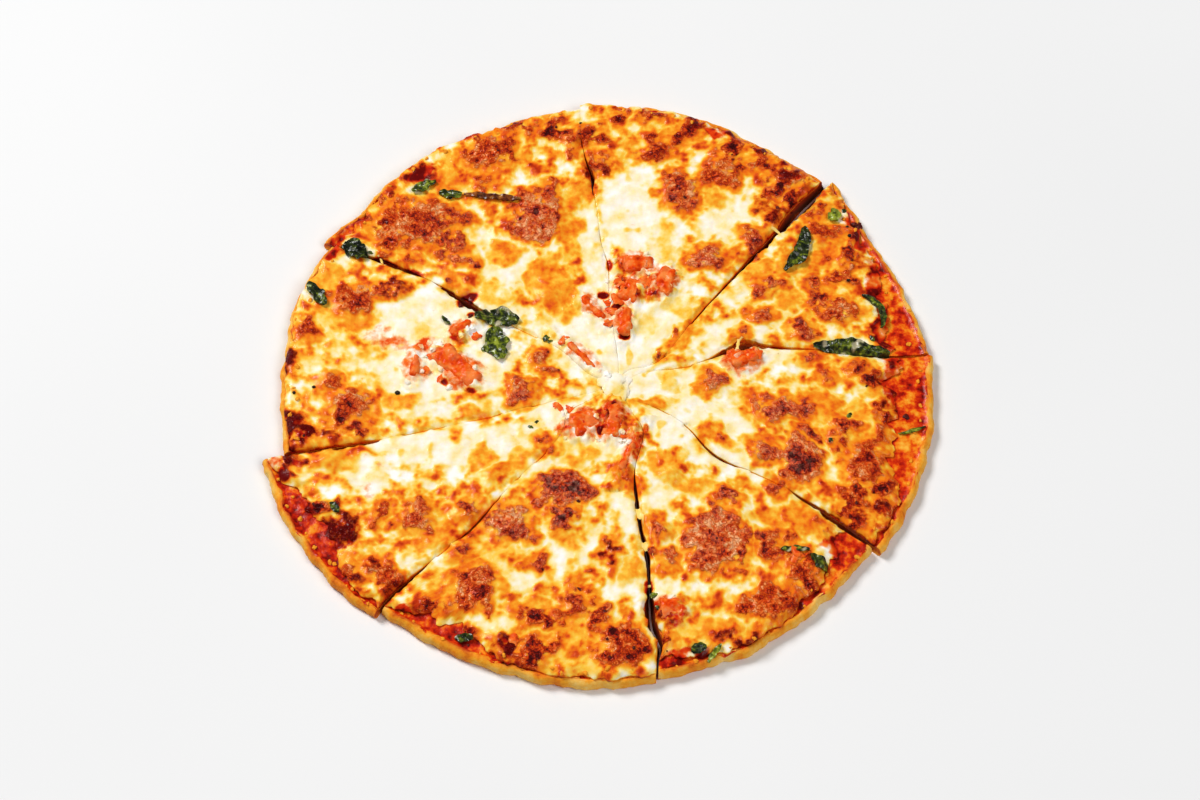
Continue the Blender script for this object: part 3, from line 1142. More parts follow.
@dataclass
class SliceLayer:
    """One layer of a slice, modelled as a fine slab that is laid over the slice's plan."""

    top: TopOfPizza
    across: int
    along: int
    wall_rows: int
    merge: float = 0.05
    sharp: float = 60.0
    slab: Thing | None = None

    def model_slab(self, keeps_bottom: bool) -> Thing:
        """Models the slab, one unit each way, with its walls cut into rows.

        Args:
            keeps_bottom: Whether its bottom is as fine as its top. Otherwise it is one face.

        Returns:
            The slab.
        """
        bpy.ops.mesh.primitive_grid_add(x_subdivisions=self.across, y_subdivisions=self.along, size=1,
                                        location=(0.5, 0.5, 0.0))
        slab = bpy.context.active_object
        bpy.ops.object.transform_apply(location=True, rotation=False, scale=False)
        with editing():
            bpy.ops.mesh.select_mode(type="FACE")
            bpy.ops.mesh.select_all(action="SELECT")
            bpy.ops.mesh.extrude_region_move(TRANSFORM_OT_translate={"value": (0, 0, 1)})
            bpy.ops.mesh.select_all(action="DESELECT")
            bpy.ops.mesh.select_mode(type="EDGE")
        pick_edges(slab.data, upright)
        with editing():
            bpy.ops.mesh.subdivide(number_cuts=self.wall_rows)
        if not keeps_bottom:
            self.close_bottom(slab.data)
        return slab

    @staticmethod
    def close_bottom(mesh: Mesh) -> None:
        """Makes the bottom of a slab, which is the active object, one face.

        Args:
            mesh: The slab's mesh.
        """
        with editing():
            bpy.ops.mesh.select_all(action="DESELECT")
            bpy.ops.mesh.select_mode(type="FACE")
        centres = np.empty(len(mesh.polygons) * 3, np.float32)
        mesh.polygons.foreach_get("center", centres)
        mesh.polygons.foreach_set("select", centres[2::3] < ON_EDGE)
        with editing():
            bpy.ops.mesh.delete(type="FACE")
            bpy.ops.mesh.select_mode(type="EDGE")
        pick_edges(mesh, lambda a, b: (a < ON_EDGE) & (b < ON_EDGE))
        with editing():
            bpy.ops.mesh.edge_face_add()

    def lay(self, name: str, plan: SlicePlan) -> Thing:
        """Lays a copy of the slab over a slice's plan.

        Args:
            name: The new piece's name.
            plan: The slice's plan.

        Returns:
            The piece.
        """
        piece = new_object(name, self.slab.data)
        places, values = self.shape(plan, *coordinates(piece.data).T)
        give_places(piece.data, to_frame(places))
        give_values(piece.data, values)
        close_up(piece, self.merge, self.sharp)
        return piece

    def shape(self, plan: SlicePlan, u: Array, v: Array, w: Array) -> tuple[Array, dict]:
        """Works out where the slab's points go and what its material reads there.

        Args:
            plan: The slice's plan.
            u: The points' shares of the way across.
            v: Their shares of the way out from the tip.
            w: Their shares of the way up.

        Returns:
            Their places on the plan with their heights, and the values by name.
        """
        raise NotImplementedError

    @staticmethod
    def outward(plan: SlicePlan, u: Array, v: Array, reach: Array) -> Array:
        """Works out which way a slice's walls face.

        Args:
            plan: The slice's plan.
            u: The points' shares of the way across.
            v: 1 for the points of the outer wall.
            reach: The points' shares of the way out.

        Returns:
            The way out at the walls, level with the table, and nearly nothing inside them.
        """
        side = unit(plan.last.at(reach) - plan.first.at(reach))
        way = np.where(u[:, None] < ON_EDGE, -side, 0.0) + np.where(u[:, None] > 1 - ON_EDGE, side, 0.0)
        return unit(way + np.where(v[:, None] > 1 - ON_EDGE, unit(plan.place(u, reach)), 0.0) + 1e-12)


@dataclass
class BakedCrust(SliceLayer):
    """The crust: a thin flat base and a low uneven rim."""

    across: int = 90
    along: int = 96
    wall_rows: int = 5
    towards_rim: float = 1.45
    flakes: float = 1.0
    unevenness: float = 0.25
    foot_gap: float = 0.25
    crumb: float = 0.22
    usual_bake: float = 0.50
    wall_bake: float = 0.2

    def shape(self, plan: SlicePlan, u: Array, v: Array, w: Array) -> tuple[Array, dict]:
        """Works out the crust's points, its browning and the sauce on it."""
        depth = plan.length * (1 - v) ** self.towards_rim
        along = 1 - depth / plan.length
        heel = HEEL_INSET / plan.length * smoothstep((along - 0.5) * 2)
        drawn_in = along - heel * (1 - smoothstep(w * 1.5))
        place = plan.place(u, drawn_in)
        x, y = place.T
        near_rim, to_side = smoothstep(1 - depth / RIM_REACH), np.minimum(u, 1 - u)
        high = crust_height(depth, x, y) + knobbly(depth, x, y)
        flaking = self.flakes * near_rim ** 2 * EDGE.layered(x + 90, y, 8, 3) * smoothstep(to_side * 30)
        place = place + unit(place) * flaking[:, None]
        low = self.unevenness * np.clip(0.3 + BLOTCH.layered(x, y, 9, 2), 0, 1) * smoothstep((1 - v) * 12)
        height = low + (high - low) * w
        cut_side, half_gap = (to_side < ON_EDGE) & (w < 0.99), plan.half_gap(u, along)
        foot = np.maximum(half_gap - self.foot_gap, 0) * (1 - smoothstep(w / 0.8)) * cut_side
        place = place + self.outward(plan, u, np.zeros_like(v), along) * foot[:, None]
        wall = (w > 0.01) & (w < 0.99)
        crumb = self.crumb * FINE.layered(x + 40 * w, y + 25 * w, 2.2, 2) * wall
        place = place + self.outward(plan, u, v, along) * crumb[:, None]
        spots, singed = BLOTCH.layered(x, y, 12, 3), plan.wall_bake(u)
        at_rim = self.usual_bake + 0.22 * spots + 0.12 * EDGE.at(x, y, 3) - 0.10 * smoothstep(1 - depth / 2.5)
        at_cut = self.wall_bake + 0.5 * singed * smoothstep(w * 1.6) + 0.2 * (1 - w) ** 2 + 0.15 * spots
        at_cut = at_cut + 0.5 * smoothstep((half_gap - 0.4) / 0.6) * singed * smoothstep(1.2 - w)
        under = ((w < 0.01) & ~cut_side) | ((v > 1 - ON_EDGE) & (w < 0.5))
        bake = np.where(under, self.usual_bake + 0.26 * spots, np.where(cut_side, at_cut, at_rim))
        on_top = self.top.looks(x, y).red * smoothstep((depth - 1.2) / 2.0)
        red = np.where(w > 0.99, on_top, 0.5 * singed * cut_side * smoothstep(w * 2 - 0.6))
        return np.column_stack([place, height]), {"bake": bake, "red": red}


@dataclass
class TomatoSauce(SliceLayer):
    """The sauce: thin and lumpy, drawn up onto the rim in a ragged film."""

    across: int = 100
    along: int = 110
    wall_rows: int = 3
    film: float = 0.25
    edge: float = 2.6
    raggedness: float = 1.3
    bare_from: float = 22.0
    covered_from: float = 12.0
    clearance: float = 0.02

    def shape(self, plan: SlicePlan, u: Array, v: Array, w: Array) -> tuple[Array, dict]:
        """Works out the sauce's points and how much it has dried."""
        edge = self.edge + self.raggedness * EDGE.layered(*plan.rim(u).T, 9, 3)
        reach = (1 - edge / plan.length) * v ** 0.9
        place = plan.place(u, reach)
        x, y = place.T
        depth = plan.length * (1 - reach)
        lumps = 0.55 * BLOTCH.layered(x, y, 5, 3) + 0.2 * FINE.at(x, y, 1.8)
        over_rim = crust_height(depth, x, y) + knobbly(depth, x, y)
        film = self.film * smoothstep((depth - edge) / 1.2) + self.clearance
        bare = smoothstep((self.bare_from - depth) / 10)
        flat = SAUCE_TOP - 0.1 + lumps * (0.15 + 0.85 * bare) * 0.6
        high = np.maximum(flat, over_rim + film + 0.15 * lumps * smoothstep((depth - edge) / 2))
        high = np.where(depth > self.covered_from, np.minimum(high, CHEESE_BOTTOM - self.clearance), high)
        height = SAUCE_BOTTOM + (high - SAUCE_BOTTOM) * w
        return np.column_stack([place, height]), {"golden": self.top.looks(x, y).golden}


@dataclass
class CheeseLayer(SliceLayer):
    """The cheese: pooled, blistered, slumped over its cut edges, and run together again near the middle."""

    across: int = 150
    along: int = 220
    wall_rows: int = 7
    lap: float = 3.7
    least_margin: float = 1.6
    lobes: float = 1.5
    edge_thickness: float = 1.5
    edge_width: float = 2.6
    edge_film: float = 0.45
    drip: float = 2.6
    taper: float = 5.0
    taper_reach: float = 14.0
    melted_from: float = 12.0
    melted_to: float = 32.0
    groove: float = 0.3

    def melt(self, place: Array, half_gap: Array) -> tuple[Array, Array]:
        """Works out where the cheese has run together again over a cut.

        Args:
            place: Places on the plan.
            half_gap: Half the gap of the nearer cut there.

        Returns:
            How far it has run together, from 0 to 1, and how far it spills over the cut's side.
        """
        away = np.linalg.norm(place - CUTS_MEET, axis=1)
        middle = 1 - smoothstep((away - self.melted_from) / (self.melted_to - self.melted_from))
        narrow = smoothstep((0.75 - half_gap) / 0.3)
        closed = smoothstep((EDGE.layered(*(place.T - 80), 13, 2) + 0.2) / 0.25) * narrow
        melted = np.maximum(middle, 0.9 * closed)
        ragged = EDGE.layered(*(place.T + 20), 5, 3) * smoothstep((half_gap - 0.5) / 1.2)
        return melted, half_gap * melted + np.minimum(ragged, half_gap - 0.3) * (1 - melted)

    def shape(self, plan: SlicePlan, u: Array, v: Array, w: Array) -> tuple[Array, dict]:
        """Works out the cheese's points and how it has baked."""
        margin = read_steps(plan.margins, u)
        lobes = self.lobes * EDGE.layered(*(plan.rim(u).T + 30), 7, 3) * np.clip(margin / 6, 1, 3)
        ends = 1 - np.maximum(margin - self.lap + lobes, self.least_margin) / plan.length
        reach = v * ends
        width = np.maximum(plan.width(reach), ON_EDGE)
        to_side, half_gap = np.minimum(u, 1 - u) * width, plan.half_gap(u, reach)
        melted, spill = self.melt(plan.place(u, reach), half_gap)
        lean = np.where(u < 0.5, -1.0, 1.0) * (1 - smoothstep(to_side / 3))
        place = plan.place(u + lean * spill / width, reach)
        x, y = place.T
        from_side, from_end = to_side + np.maximum(spill, 0), (1 - v) * ends * plan.length
        baking = self.top.looks(x, y)
        full = self.top.height(x, y) + self.top.relief(x, y, baking)
        rounding = self.edge_width * (1 + 0.35 * EDGE.at(x, y, 7)) * (1 - 0.5 * melted)
        thinned = smoothstep((margin - 7) / 7) * smoothstep(1 - from_end / self.taper_reach)
        inside = np.minimum(from_side / rounding, from_end * 0.7 / (rounding + self.taper * thinned))
        edge = CHEESE_BOTTOM + self.edge_thickness * (1 - 0.75 * thinned) + 0.4 * EDGE.at(x + 50, y, 6)
        edge = edge + (full - self.groove - edge) * melted
        edge = np.maximum(edge, crust_height(plan.length * (1 - reach), x, y) + self.edge_film)
        high = edge + np.maximum(full - edge, 0.2) * np.sqrt(smoothstep(inside))
        down = 1 - w
        drips = self.drip * np.clip(2.2 * EDGE.layered(x, y, 8, 2) - 0.2, 0, 1)
        drips = drips * smoothstep((half_gap - 0.5) / 0.8)
        low = CHEESE_BOTTOM - drips * (v < 1 - ON_EDGE)
        height = high + (low - high) * smoothstep(down / 0.6)
        height = height + (CHEESE_BOTTOM - low) * smoothstep((down - 0.75) / 0.25)
        bulge = np.clip(0.6 - 0.45 * half_gap, 0.1, 0.4) * np.sin(math.pi * np.clip(down / 0.85, 0, 1))
        bulge = bulge * (1 - melted) - 0.3 * smoothstep((down - 0.85) / 0.15)
        place = place + self.outward(plan, u, v, reach) * bulge[:, None]
        cut = smoothstep(down / 0.35)
        wall = 0.25 + 0.35 * plan.wall_bake(u) + 0.35 * baking.golden
        values = {"golden": baking.golden * (1 - cut) + wall * cut, "crisp": baking.crisp * (1 - cut),
                  "dark": baking.dark + 0.3 * (0.45 - self.top.wrinkles(x, y)),
                  "red": np.clip(baking.red + 0.6 * cut * down, 0, 1), "milky": baking.milky}
        return np.column_stack([place, height]), values


@dataclass
class DicedTomato:
    """The diced tomato: soft uneven blocks, made finer from the shape of their solids."""

    material: Material
    voxel: float = 0.5
    softening: float = 0.6
    rounds: int = 16
    pitting: float = 0.75
    veiled: float = 0.42

    def build(self, number: int) -> None:
        """Makes one dice.

        Args:
            number: The dice's number.
        """
        node = f"tomato_{number}"
        piece = new_object(f"diced_{node}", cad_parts[node].data)
        close_up(piece, 0.01, 60)
        remesh = piece.modifiers.new("fine", "REMESH")
        remesh.mode, remesh.voxel_size = "VOXEL", self.voxel * MM
        soften = piece.modifiers.new("soften", "SMOOTH")
        soften.factor, soften.iterations = self.softening, self.rounds
        for modifier in [m.name for m in piece.modifiers]:
            bpy.ops.object.modifier_apply(modifier=modifier)
        places = coordinates(piece.data)
        normals = np.empty(len(places) * 3, np.float32)
        piece.data.vertices.foreach_get("normal", normals)
        x, y, z = to_plan(places).T
        pits = self.pitting * BLOTCH.layered(x + 0.7 * z, y - 0.6 * z, 5.5, 3, 0.6)
        veil = smoothstep((EDGE.layered(x + 0.5 * z, y + 0.5 * z, 7, 3) + 0.03) / 0.35)
        give_values(piece.data, {"veil": self.veiled * veil})
        give_places(piece.data, places + normals.reshape(-1, 3) * (pits * MM)[:, None])
        shade(60)
        settle(piece, self.material, (node,))


# Spinach: x and y where the leaf starts, its length and width, its heading and bend in degrees, how green it
# is, or below zero how brown, and how much of it lies under a film of cheese
LEAVES = (
    (-91.5, 102.5, 13, 5.5, 25, 0, 0.5, 0.15), (-78, 101, 11, 5, -5, 0, 0.5, 0.2),
    (-66, 100, 28, 3.6, -3, -6, -0.9, 0.1), (-123, 73, 14, 9, -38, 10, 0.0, 0.15),
    (-139, 50, 15, 6.5, -50, -6, 0.1, 0.0), (-59, 31, 21, 9.5, 12, -36, 0.15, 0.22),
    (-50, 26, 18, 11, -84, 14, 0.6, 0.05), (98, 81, 27, 7, -82, -62, 0.1, 0.1),
    (110, 86, 7.5, 6, 30, 20, 1.0, 0.0), (124, 43, 22, 3.8, -8, -110, 0.2, 0.1),
    (100, 16, 36, 6.5, 2, -16, 0.0, 0.3), (137.5, -29, 13.5, 1.8, 8, 16, 0.6, 0.0),
    (94.5, -92, 10, 5, -42, -10, 0.2, 0.2), (81, -89.5, 13, 3.2, 6, -12, 0.4, 0.3),
    (47.5, -142.5, 9.5, 2.6, 54, -4, 0.7, 0.0), (40, -138, 7, 4.5, 15, 0, 0.1, 0.2),
    (-64, -131, 8, 4, 4, -10, 0.2, 0.4), (-122, -66, 6.5, 3.2, -52, 0, 0.3, 0.1),
    (-74.5, 32, 6.5, 2.2, -52, 0, 0.3, 0.2),
)


class Feeler:
    """Finds how high the finished layers lie at a place on the plan."""

    above: float = 40.0

    def __init__(self, pieces: list[Thing]) -> None:
        """Keeps the pieces, with their boxes.

        Args:
            pieces: The layers' pieces.
        """
        self.pieces = []
        for piece in pieces:
            places = to_plan(coordinates(piece.data))
            self.pieces.append((piece, places.min(axis=0), places.max(axis=0)))

    def height(self, x: float, y: float) -> float:
        """Finds the height of what lies highest at a place.

        Args:
            x: The place, across.
            y: The place, along.

        Returns:
            The height in millimetres, or 0 where nothing lies.
        """
        highest = 0.0
        start = Vector(to_frame(np.array((x, y, self.above))))
        for piece, low, high in self.pieces:
            if low[0] < x < high[0] and low[1] < y < high[1]:
                hit, place, _, _ = piece.ray_cast(start, Vector((0, 0, -1)))
                if hit:
                    highest = max(highest, place.z / MM)
        return highest

    def around(self, x: float, y: float, reach: float) -> float:
        """Returns the middle one of the heights at that place and at four places round it."""
        steps = ((0, 0), (reach, 0), (-reach, 0), (0, reach), (0, -reach))
        return float(np.median([self.height(x + dx, y + dy) for dx, dy in steps]))


@dataclass
class SpinachLeaf:
    """Wilted spinach: thin ruffled leaves, creased along their ribs and laid on what is under them."""

    feeler: Feeler
    material: Material
    thickness: float = 0.4
    clearance: float = 0.35
    pitch: float = 0.55
    lobes: float = 0.14
    ruffle: float = 0.6
    crumple: float = 0.75
    crease: float = 0.4
    wave: float = 0.7
    rib: float = 0.10
    rib_pitch: float = 3.4
    veil: float = 0.65

    def build(self, number: int) -> None:
        """Makes one leaf.

        Args:
            number: The leaf's number.
        """
        x, y, length, width, heading, bend, fresh, filmed = LEAVES[number - 1]
        bpy.ops.mesh.primitive_grid_add(x_subdivisions=max(8, round(length / self.pitch)),
                                        y_subdivisions=max(5, round(width / self.pitch)), size=1)
        leaf = bpy.context.active_object
        leaf.name = leaf.data.name = f"spinach_leaf_{number}"
        grid = coordinates(leaf.data)
        along, aside = grid[:, 0] + 0.5, grid[:, 1] * 2
        half = self.half_width(x, y, length, width, along, aside)
        place = self.spread(x, y, length, math.radians(heading), math.radians(bend), along, aside * half)
        ground = self.eased(along, aside, np.array([self.feeler.height(*p) for p in place]))
        broad = min(width / 6.0, 1.0)
        wave = self.wave * (0.5 + 0.5 * np.sin(8.0 * along + 2.4 * aside + y)) * broad
        ruffle = self.ruffle * broad * aside ** 2 * np.sin(length * along * 1.9 + x)
        crease = self.crease * abs(aside) * broad
        crumple = broad * (0.3 + self.crumple * BLOTCH.layered(*place.T, 4.2, 2, 0.6))
        height = ground + self.clearance + wave + crease + ruffle * 0.6 + crumple
        give_places(leaf.data, to_frame(np.column_stack([place, height])))
        side_ribs = np.cos((length * along - 2.2 * abs(aside) * half) * 2 * math.pi / self.rib_pitch)
        film = smoothstep((BLOTCH.layered(*(place.T + 33), 6, 3) + 2 * filmed - 0.9) / 0.3)
        scorch = -fresh + 0.5 * BLOTCH.at(*place.T, 5) * (fresh < 0)
        give_values(leaf.data, {
            "vein": np.maximum(np.exp(-(aside / self.rib) ** 2), 0.6 * np.clip(side_ribs, 0, 1) ** 6),
            "fresh": max(fresh, 0.0) + 0.35 * BLOTCH.at(*place.T, 6), "veil": self.veil * film,
            "scorch": np.clip(scorch, 0, 1)})
        body = leaf.modifiers.new("thickness", "SOLIDIFY")
        body.thickness, body.offset = self.thickness * MM, 1.0
        bpy.ops.object.modifier_apply(modifier=body.name)
        shade(70)
        settle(leaf, self.material, (f"spinach_{number}",))

    def half_width(self, x: float, y: float, length: float, width: float, along: Array,
                   aside: Array) -> Array:
        """Works out half the leaf's width, with its lobes.

        Args:
            x: Where the leaf starts, across.
            y: Where it starts, along.
            length: Its length.
            width: Its width, but for the lobes.
            along: Its points' shares of the length.
            aside: Their shares of half the width, from -1 to 1.

        Returns:
            Half the width at each point.
        """
        lobed = 1 + self.lobes * np.sin(4.6 * math.pi * along + aside + x)
        lobed = lobed + 0.3 * EDGE.layered(along * length + y, x + 9 * np.sign(aside), 5, 2)
        return width / 2 * np.sin(math.pi * (0.04 + 0.92 * along)) ** 0.65 * lobed

    @staticmethod
    def spread(x: float, y: float, length: float, heading: float, bend: float, along: Array,
               aside: Array) -> Array:
        """Lays the leaf's points out on the plan.

        Args:
            x: Where the leaf starts, across.
            y: Where it starts, along.
            length: Its length.
            heading: Its heading there, in radians.
            bend: How far its rib turns, in radians.
            along: The points' shares of its length.
            aside: How far they are to the left of its rib.

        Returns:
            Their places.
        """
        angle, mean, half_turn = heading + bend * along, heading + bend * along / 2, bend * along / 2
        chord = length * along * np.sinc(half_turn / math.pi)
        spine = np.array((x, y)) + np.stack([np.cos(mean), np.sin(mean)], axis=1) * chord[:, None]
        return spine + np.stack([-np.sin(angle), np.cos(angle)], axis=1) * aside[:, None]

    @staticmethod
    def eased(along: Array, aside: Array, ground: Array) -> Array:
        """Works out the ground as a leaf feels it: near its highest places, and bridging the narrow dips.

        Args:
            along: The leaf's points' shares of its length.
            aside: Their shares of half its width, from -1 to 1.
            ground: The height under each point.

        Returns:
            The height that each point feels.
        """
        felt = np.empty_like(ground)
        for i in range(len(ground)):
            near = (abs(along - along[i]) < 0.08) & (abs(aside - aside[i]) < 0.5)
            felt[i] = 0.5 * ground[near].max() + 0.5 * ground[near].mean()
        return felt


class BitKind(Enum):
    """The small loose bits that lie on the pizza. The value names the piece that holds all of a kind."""

    CURD = "curd_crumbs"
    POOL = "melted_pools"
    PULP = "tomato_pulp"
    CHAR = "charred_cheese"
    HERB = "herb_flecks"
    PEPPER = "cracked_pepper"
    CRUMB = "crust_crumbs"


# Where bits were seen lying: x, y and width
CURDS = (
    (3.5, 0, 3.2), (11, -1.5, 2.6), (-65, 21, 3), (-70, -6, 3), (-78, 14, 3.2), (-81, 11, 2.6),
    (-75, 17, 2.8), (-73, 13, 2.2), (-84, 15, 2.4), (-83, 2, 2.2), (-80, 17, 2.6), (-76, 12, 2),
    (10, -30, 2.6), (9, -34, 2.2), (-17, -20, 2.4), (22, 66, 2.4), (3, 52, 2.2),
)
POOLS = ((6.5, -5.5, 12), (10, -9, 8), (2, -3, 7), (12, -3, 6))
PULPS = (
    (21.5, 50, 5.625), (8.5, 41, 5.625), (6, 33.5, 5), (3.5, 40, 4.25), (11, 63, 4.25), (9, 50, 4.5),
    (-13, -18, 4.25), (11, -32, 3.75), (-74, -1, 4.25), (-59, 1, 3.75), (-82, 3, 3.75), (-77, 10, 4.25),
    (-58, 21, 3.75), (62, 12, 5), (74, 11, 3.75), (88, -92, 5.75), (-38, -133, 4), (-20, -16, 3.75),
    (-17, 18, 3.75), (4, 28, 3.75),
)
CHARS = (
    (124, 85, 3.2), (125.5, 83.5, 2.6), (122.5, 83, 2.2), (142, -20, 2.8), (88, 86, 2.4), (86, 93, 2),
    (-66, 38.5, 2.4), (-150, 2, 2), (61, 12.5, 2.4), (-61, 32, 2),
)
HERBS = (
    (-32, -27, 2), (-25, 20, 3), (-23.5, 18.5, 1.8), (24, -111, 3), (26, -118, 2.2), (115, -21, 2.2),
    (106, -34, 2), (-54, 14, 3), (-110, 68, 2.2), (118, 92, 2.2), (-29, -24, 1.5), (-73, 99, 2),
    (128, 20, 2.4),
)
PEPPERS = ((-94, -9, 2.2), (-142, -9, 1.5), (-133, -6, 1.5), (120, 77, 1.7), (119, 82, 1.4), (118, 51, 1.7))

# Strands of cheese across the cuts: x and y of the two ends, and the width
STRANDS = (
    (13.5, -70, 20, -70.5, 7.5), (17, -86.5, 24, -87, 7.5), (19.5, -106, 25.5, -106, 2.4),
    (83, 82.5, 90.5, 76, 2.2), (97.5, 99, 106, 92, 2.4), (64, 13, 65.5, 21.5, 2.4),
    (-105.5, 66.5, -103.5, 60.5, 2.0), (-78, 53, -76.5, 48.5, 1.8),
)


def turned(along: float | Array, aside: float | Array, angle: float) -> tuple:
    """Returns a step along and aside, once turned by an angle in radians, as a step in x and in y."""
    c, s = math.cos(angle), math.sin(angle)
    return along * c - aside * s, along * s + aside * c


def scatter(rows: list[tuple], each: int, reach: float, widths: tuple[float, float],
            seed: int) -> list[tuple]:
    """Spreads bits over ellipses and round them, by a seeded draw.

    Args:
        rows: The ellipses, each x, y, half width, half height, turn and strength.
        each: How many bits each gets.
        reach: How far outside the ellipse they go, in millimetres.
        widths: The narrowest and the widest bit.
        seed: Which draw to make.

    Returns:
        The bits, each x, y and width.
    """
    draw = np.random.default_rng(seed)
    spots = []
    for cx, cy, wide, high, turn, _ in rows:
        for _ in range(each):
            angle, share = draw.uniform(0, 2 * math.pi), math.sqrt(draw.uniform(0.1, 1))
            along, aside = (wide + reach) * share * math.cos(angle), (high + reach) * share * math.sin(angle)
            dx, dy = turned(along, aside, math.radians(turn))
            spots.append((cx + dx, cy + dy, draw.uniform(*widths)))
    return spots


def joined(name: str, model: Thing, copies: list[Array]) -> Thing:
    """Copies an object and joins the copies.

    Args:
        name: What the whole is called.
        model: The object, which is removed afterwards.
        copies: For each copy, the places of its points on the plan.

    Returns:
        The whole.
    """
    things = [new_object(name, model.data) for _ in copies]
    for thing, places in zip(things, copies):
        give_places(thing.data, to_frame(places))
    bpy.data.objects.remove(model, do_unlink=True)
    pick_only(things[0])
    for thing in things:
        thing.select_set(True)
    bpy.ops.object.join()
    return things[0]


@dataclass
class LooseBits:
    """Small bits of one kind: one lump, copied to each place with its own stretch, turn and knobs."""

    kind: BitKind
    slot: str
    material: Material
    spots: list[tuple]
    flatness: float
    knobs: float
    values: dict[str, float]
    top: TopOfPizza | None = None
    sunk: float = 0.3
    facets: int = 3
    lowest: float = 2.5
    stretches: tuple[float, float] = (0.75, 1.3)

    def build(self, feeler: Feeler) -> None:
        """Makes the piece.

        Args:
            feeler: Finds the height of what the bits lie on.
        """
        bpy.ops.mesh.primitive_ico_sphere_add(subdivisions=self.facets, radius=0.5)
        lump = bpy.context.active_object
        x, y, z = coordinates(lump.data).T
        draw = np.random.default_rng(len(self.spots))
        bits = []
        for cx, cy, width in self.spots:
            turn, stretch = draw.uniform(0, math.pi), draw.uniform(*self.stretches)
            under = feeler.around(cx, cy, 0.35 * width)
            if under < self.lowest:
                continue
            swell = 1 + self.knobs * EDGE.layered(2 * x + 7 * cx, 2 * y + 2 * z + 7 * cy, 0.9, 2)
            dx, dy = turned(swell * x * width * stretch, swell * y * width / stretch, turn)
            up = swell * z * width * self.flatness
            height = under + width * self.flatness * (0.5 - self.sunk) + up
            bits.append(np.column_stack([cx + dx, cy + dy, height]))
        piece = joined(self.kind.value, lump, bits)
        give_values(piece.data, self.values)
        if self.top is not None:
            baking = self.top.looks(*to_plan(coordinates(piece.data))[:, :2].T)
            give_values(piece.data, {"golden": 0.7 * baking.golden, "red": 0.6 * baking.red})
        shade(70)
        settle(piece, self.material)


@dataclass
class CheeseStrands:
    """Strands of cheese that still span the cuts, sagging and thin at the middle."""

    material: Material
    golden: float = 0.36
    sag: float = 1.1
    sunk: float = 0.7
    thickest: float = 2.4
    lowest: float = 5.0
    sides: int = 12
    rows: int = 11

    def build(self, feeler: Feeler) -> None:
        """Makes the piece.

        Args:
            feeler: Finds the height of the cheese at their ends.
        """
        bpy.ops.mesh.primitive_cylinder_add(vertices=self.sides, radius=0.5, depth=1, end_fill_type="TRIFAN")
        rod = bpy.context.active_object
        pick_edges(rod.data, upright)
        with editing():
            bpy.ops.mesh.subdivide(number_cuts=self.rows)
        aside, up, share = coordinates(rod.data).T
        share = share + 0.5
        strands = []
        for x0, y0, x1, y1, width in STRANDS:
            way = unit(np.array((x1 - x0, y1 - y0)))
            ends = [feeler.around(x, y, 1.0) - self.sunk for x, y in ((x0, y0), (x1, y1))]
            if min(ends) < self.lowest:
                continue
            uneven = 0.3 * EDGE.at(9 * share + x0, 2 * share + y0, 1.5)
            thick = width * (0.6 + 1.2 * (2 * share - 1) ** 4 + uneven)
            middle = np.outer(1 - share, (x0, y0)) + np.outer(share, (x1, y1))
            place = middle + np.outer(aside * thick, (-way[1], way[0]))
            hang = self.sag * (1 - (2 * share - 1) ** 2)
            sagging = ends[0] * (1 - share) + ends[1] * share - hang
            height = sagging + 0.5 * up * np.minimum(thick, self.thickest)
            strands.append(np.column_stack([place, height]))
        piece = joined("cheese_strands", rod, strands)
        give_values(piece.data, {"golden": self.golden})
        shade(70)
        settle(piece, self.material)


# ---------------------------------------------------------------------------------------------- the studio


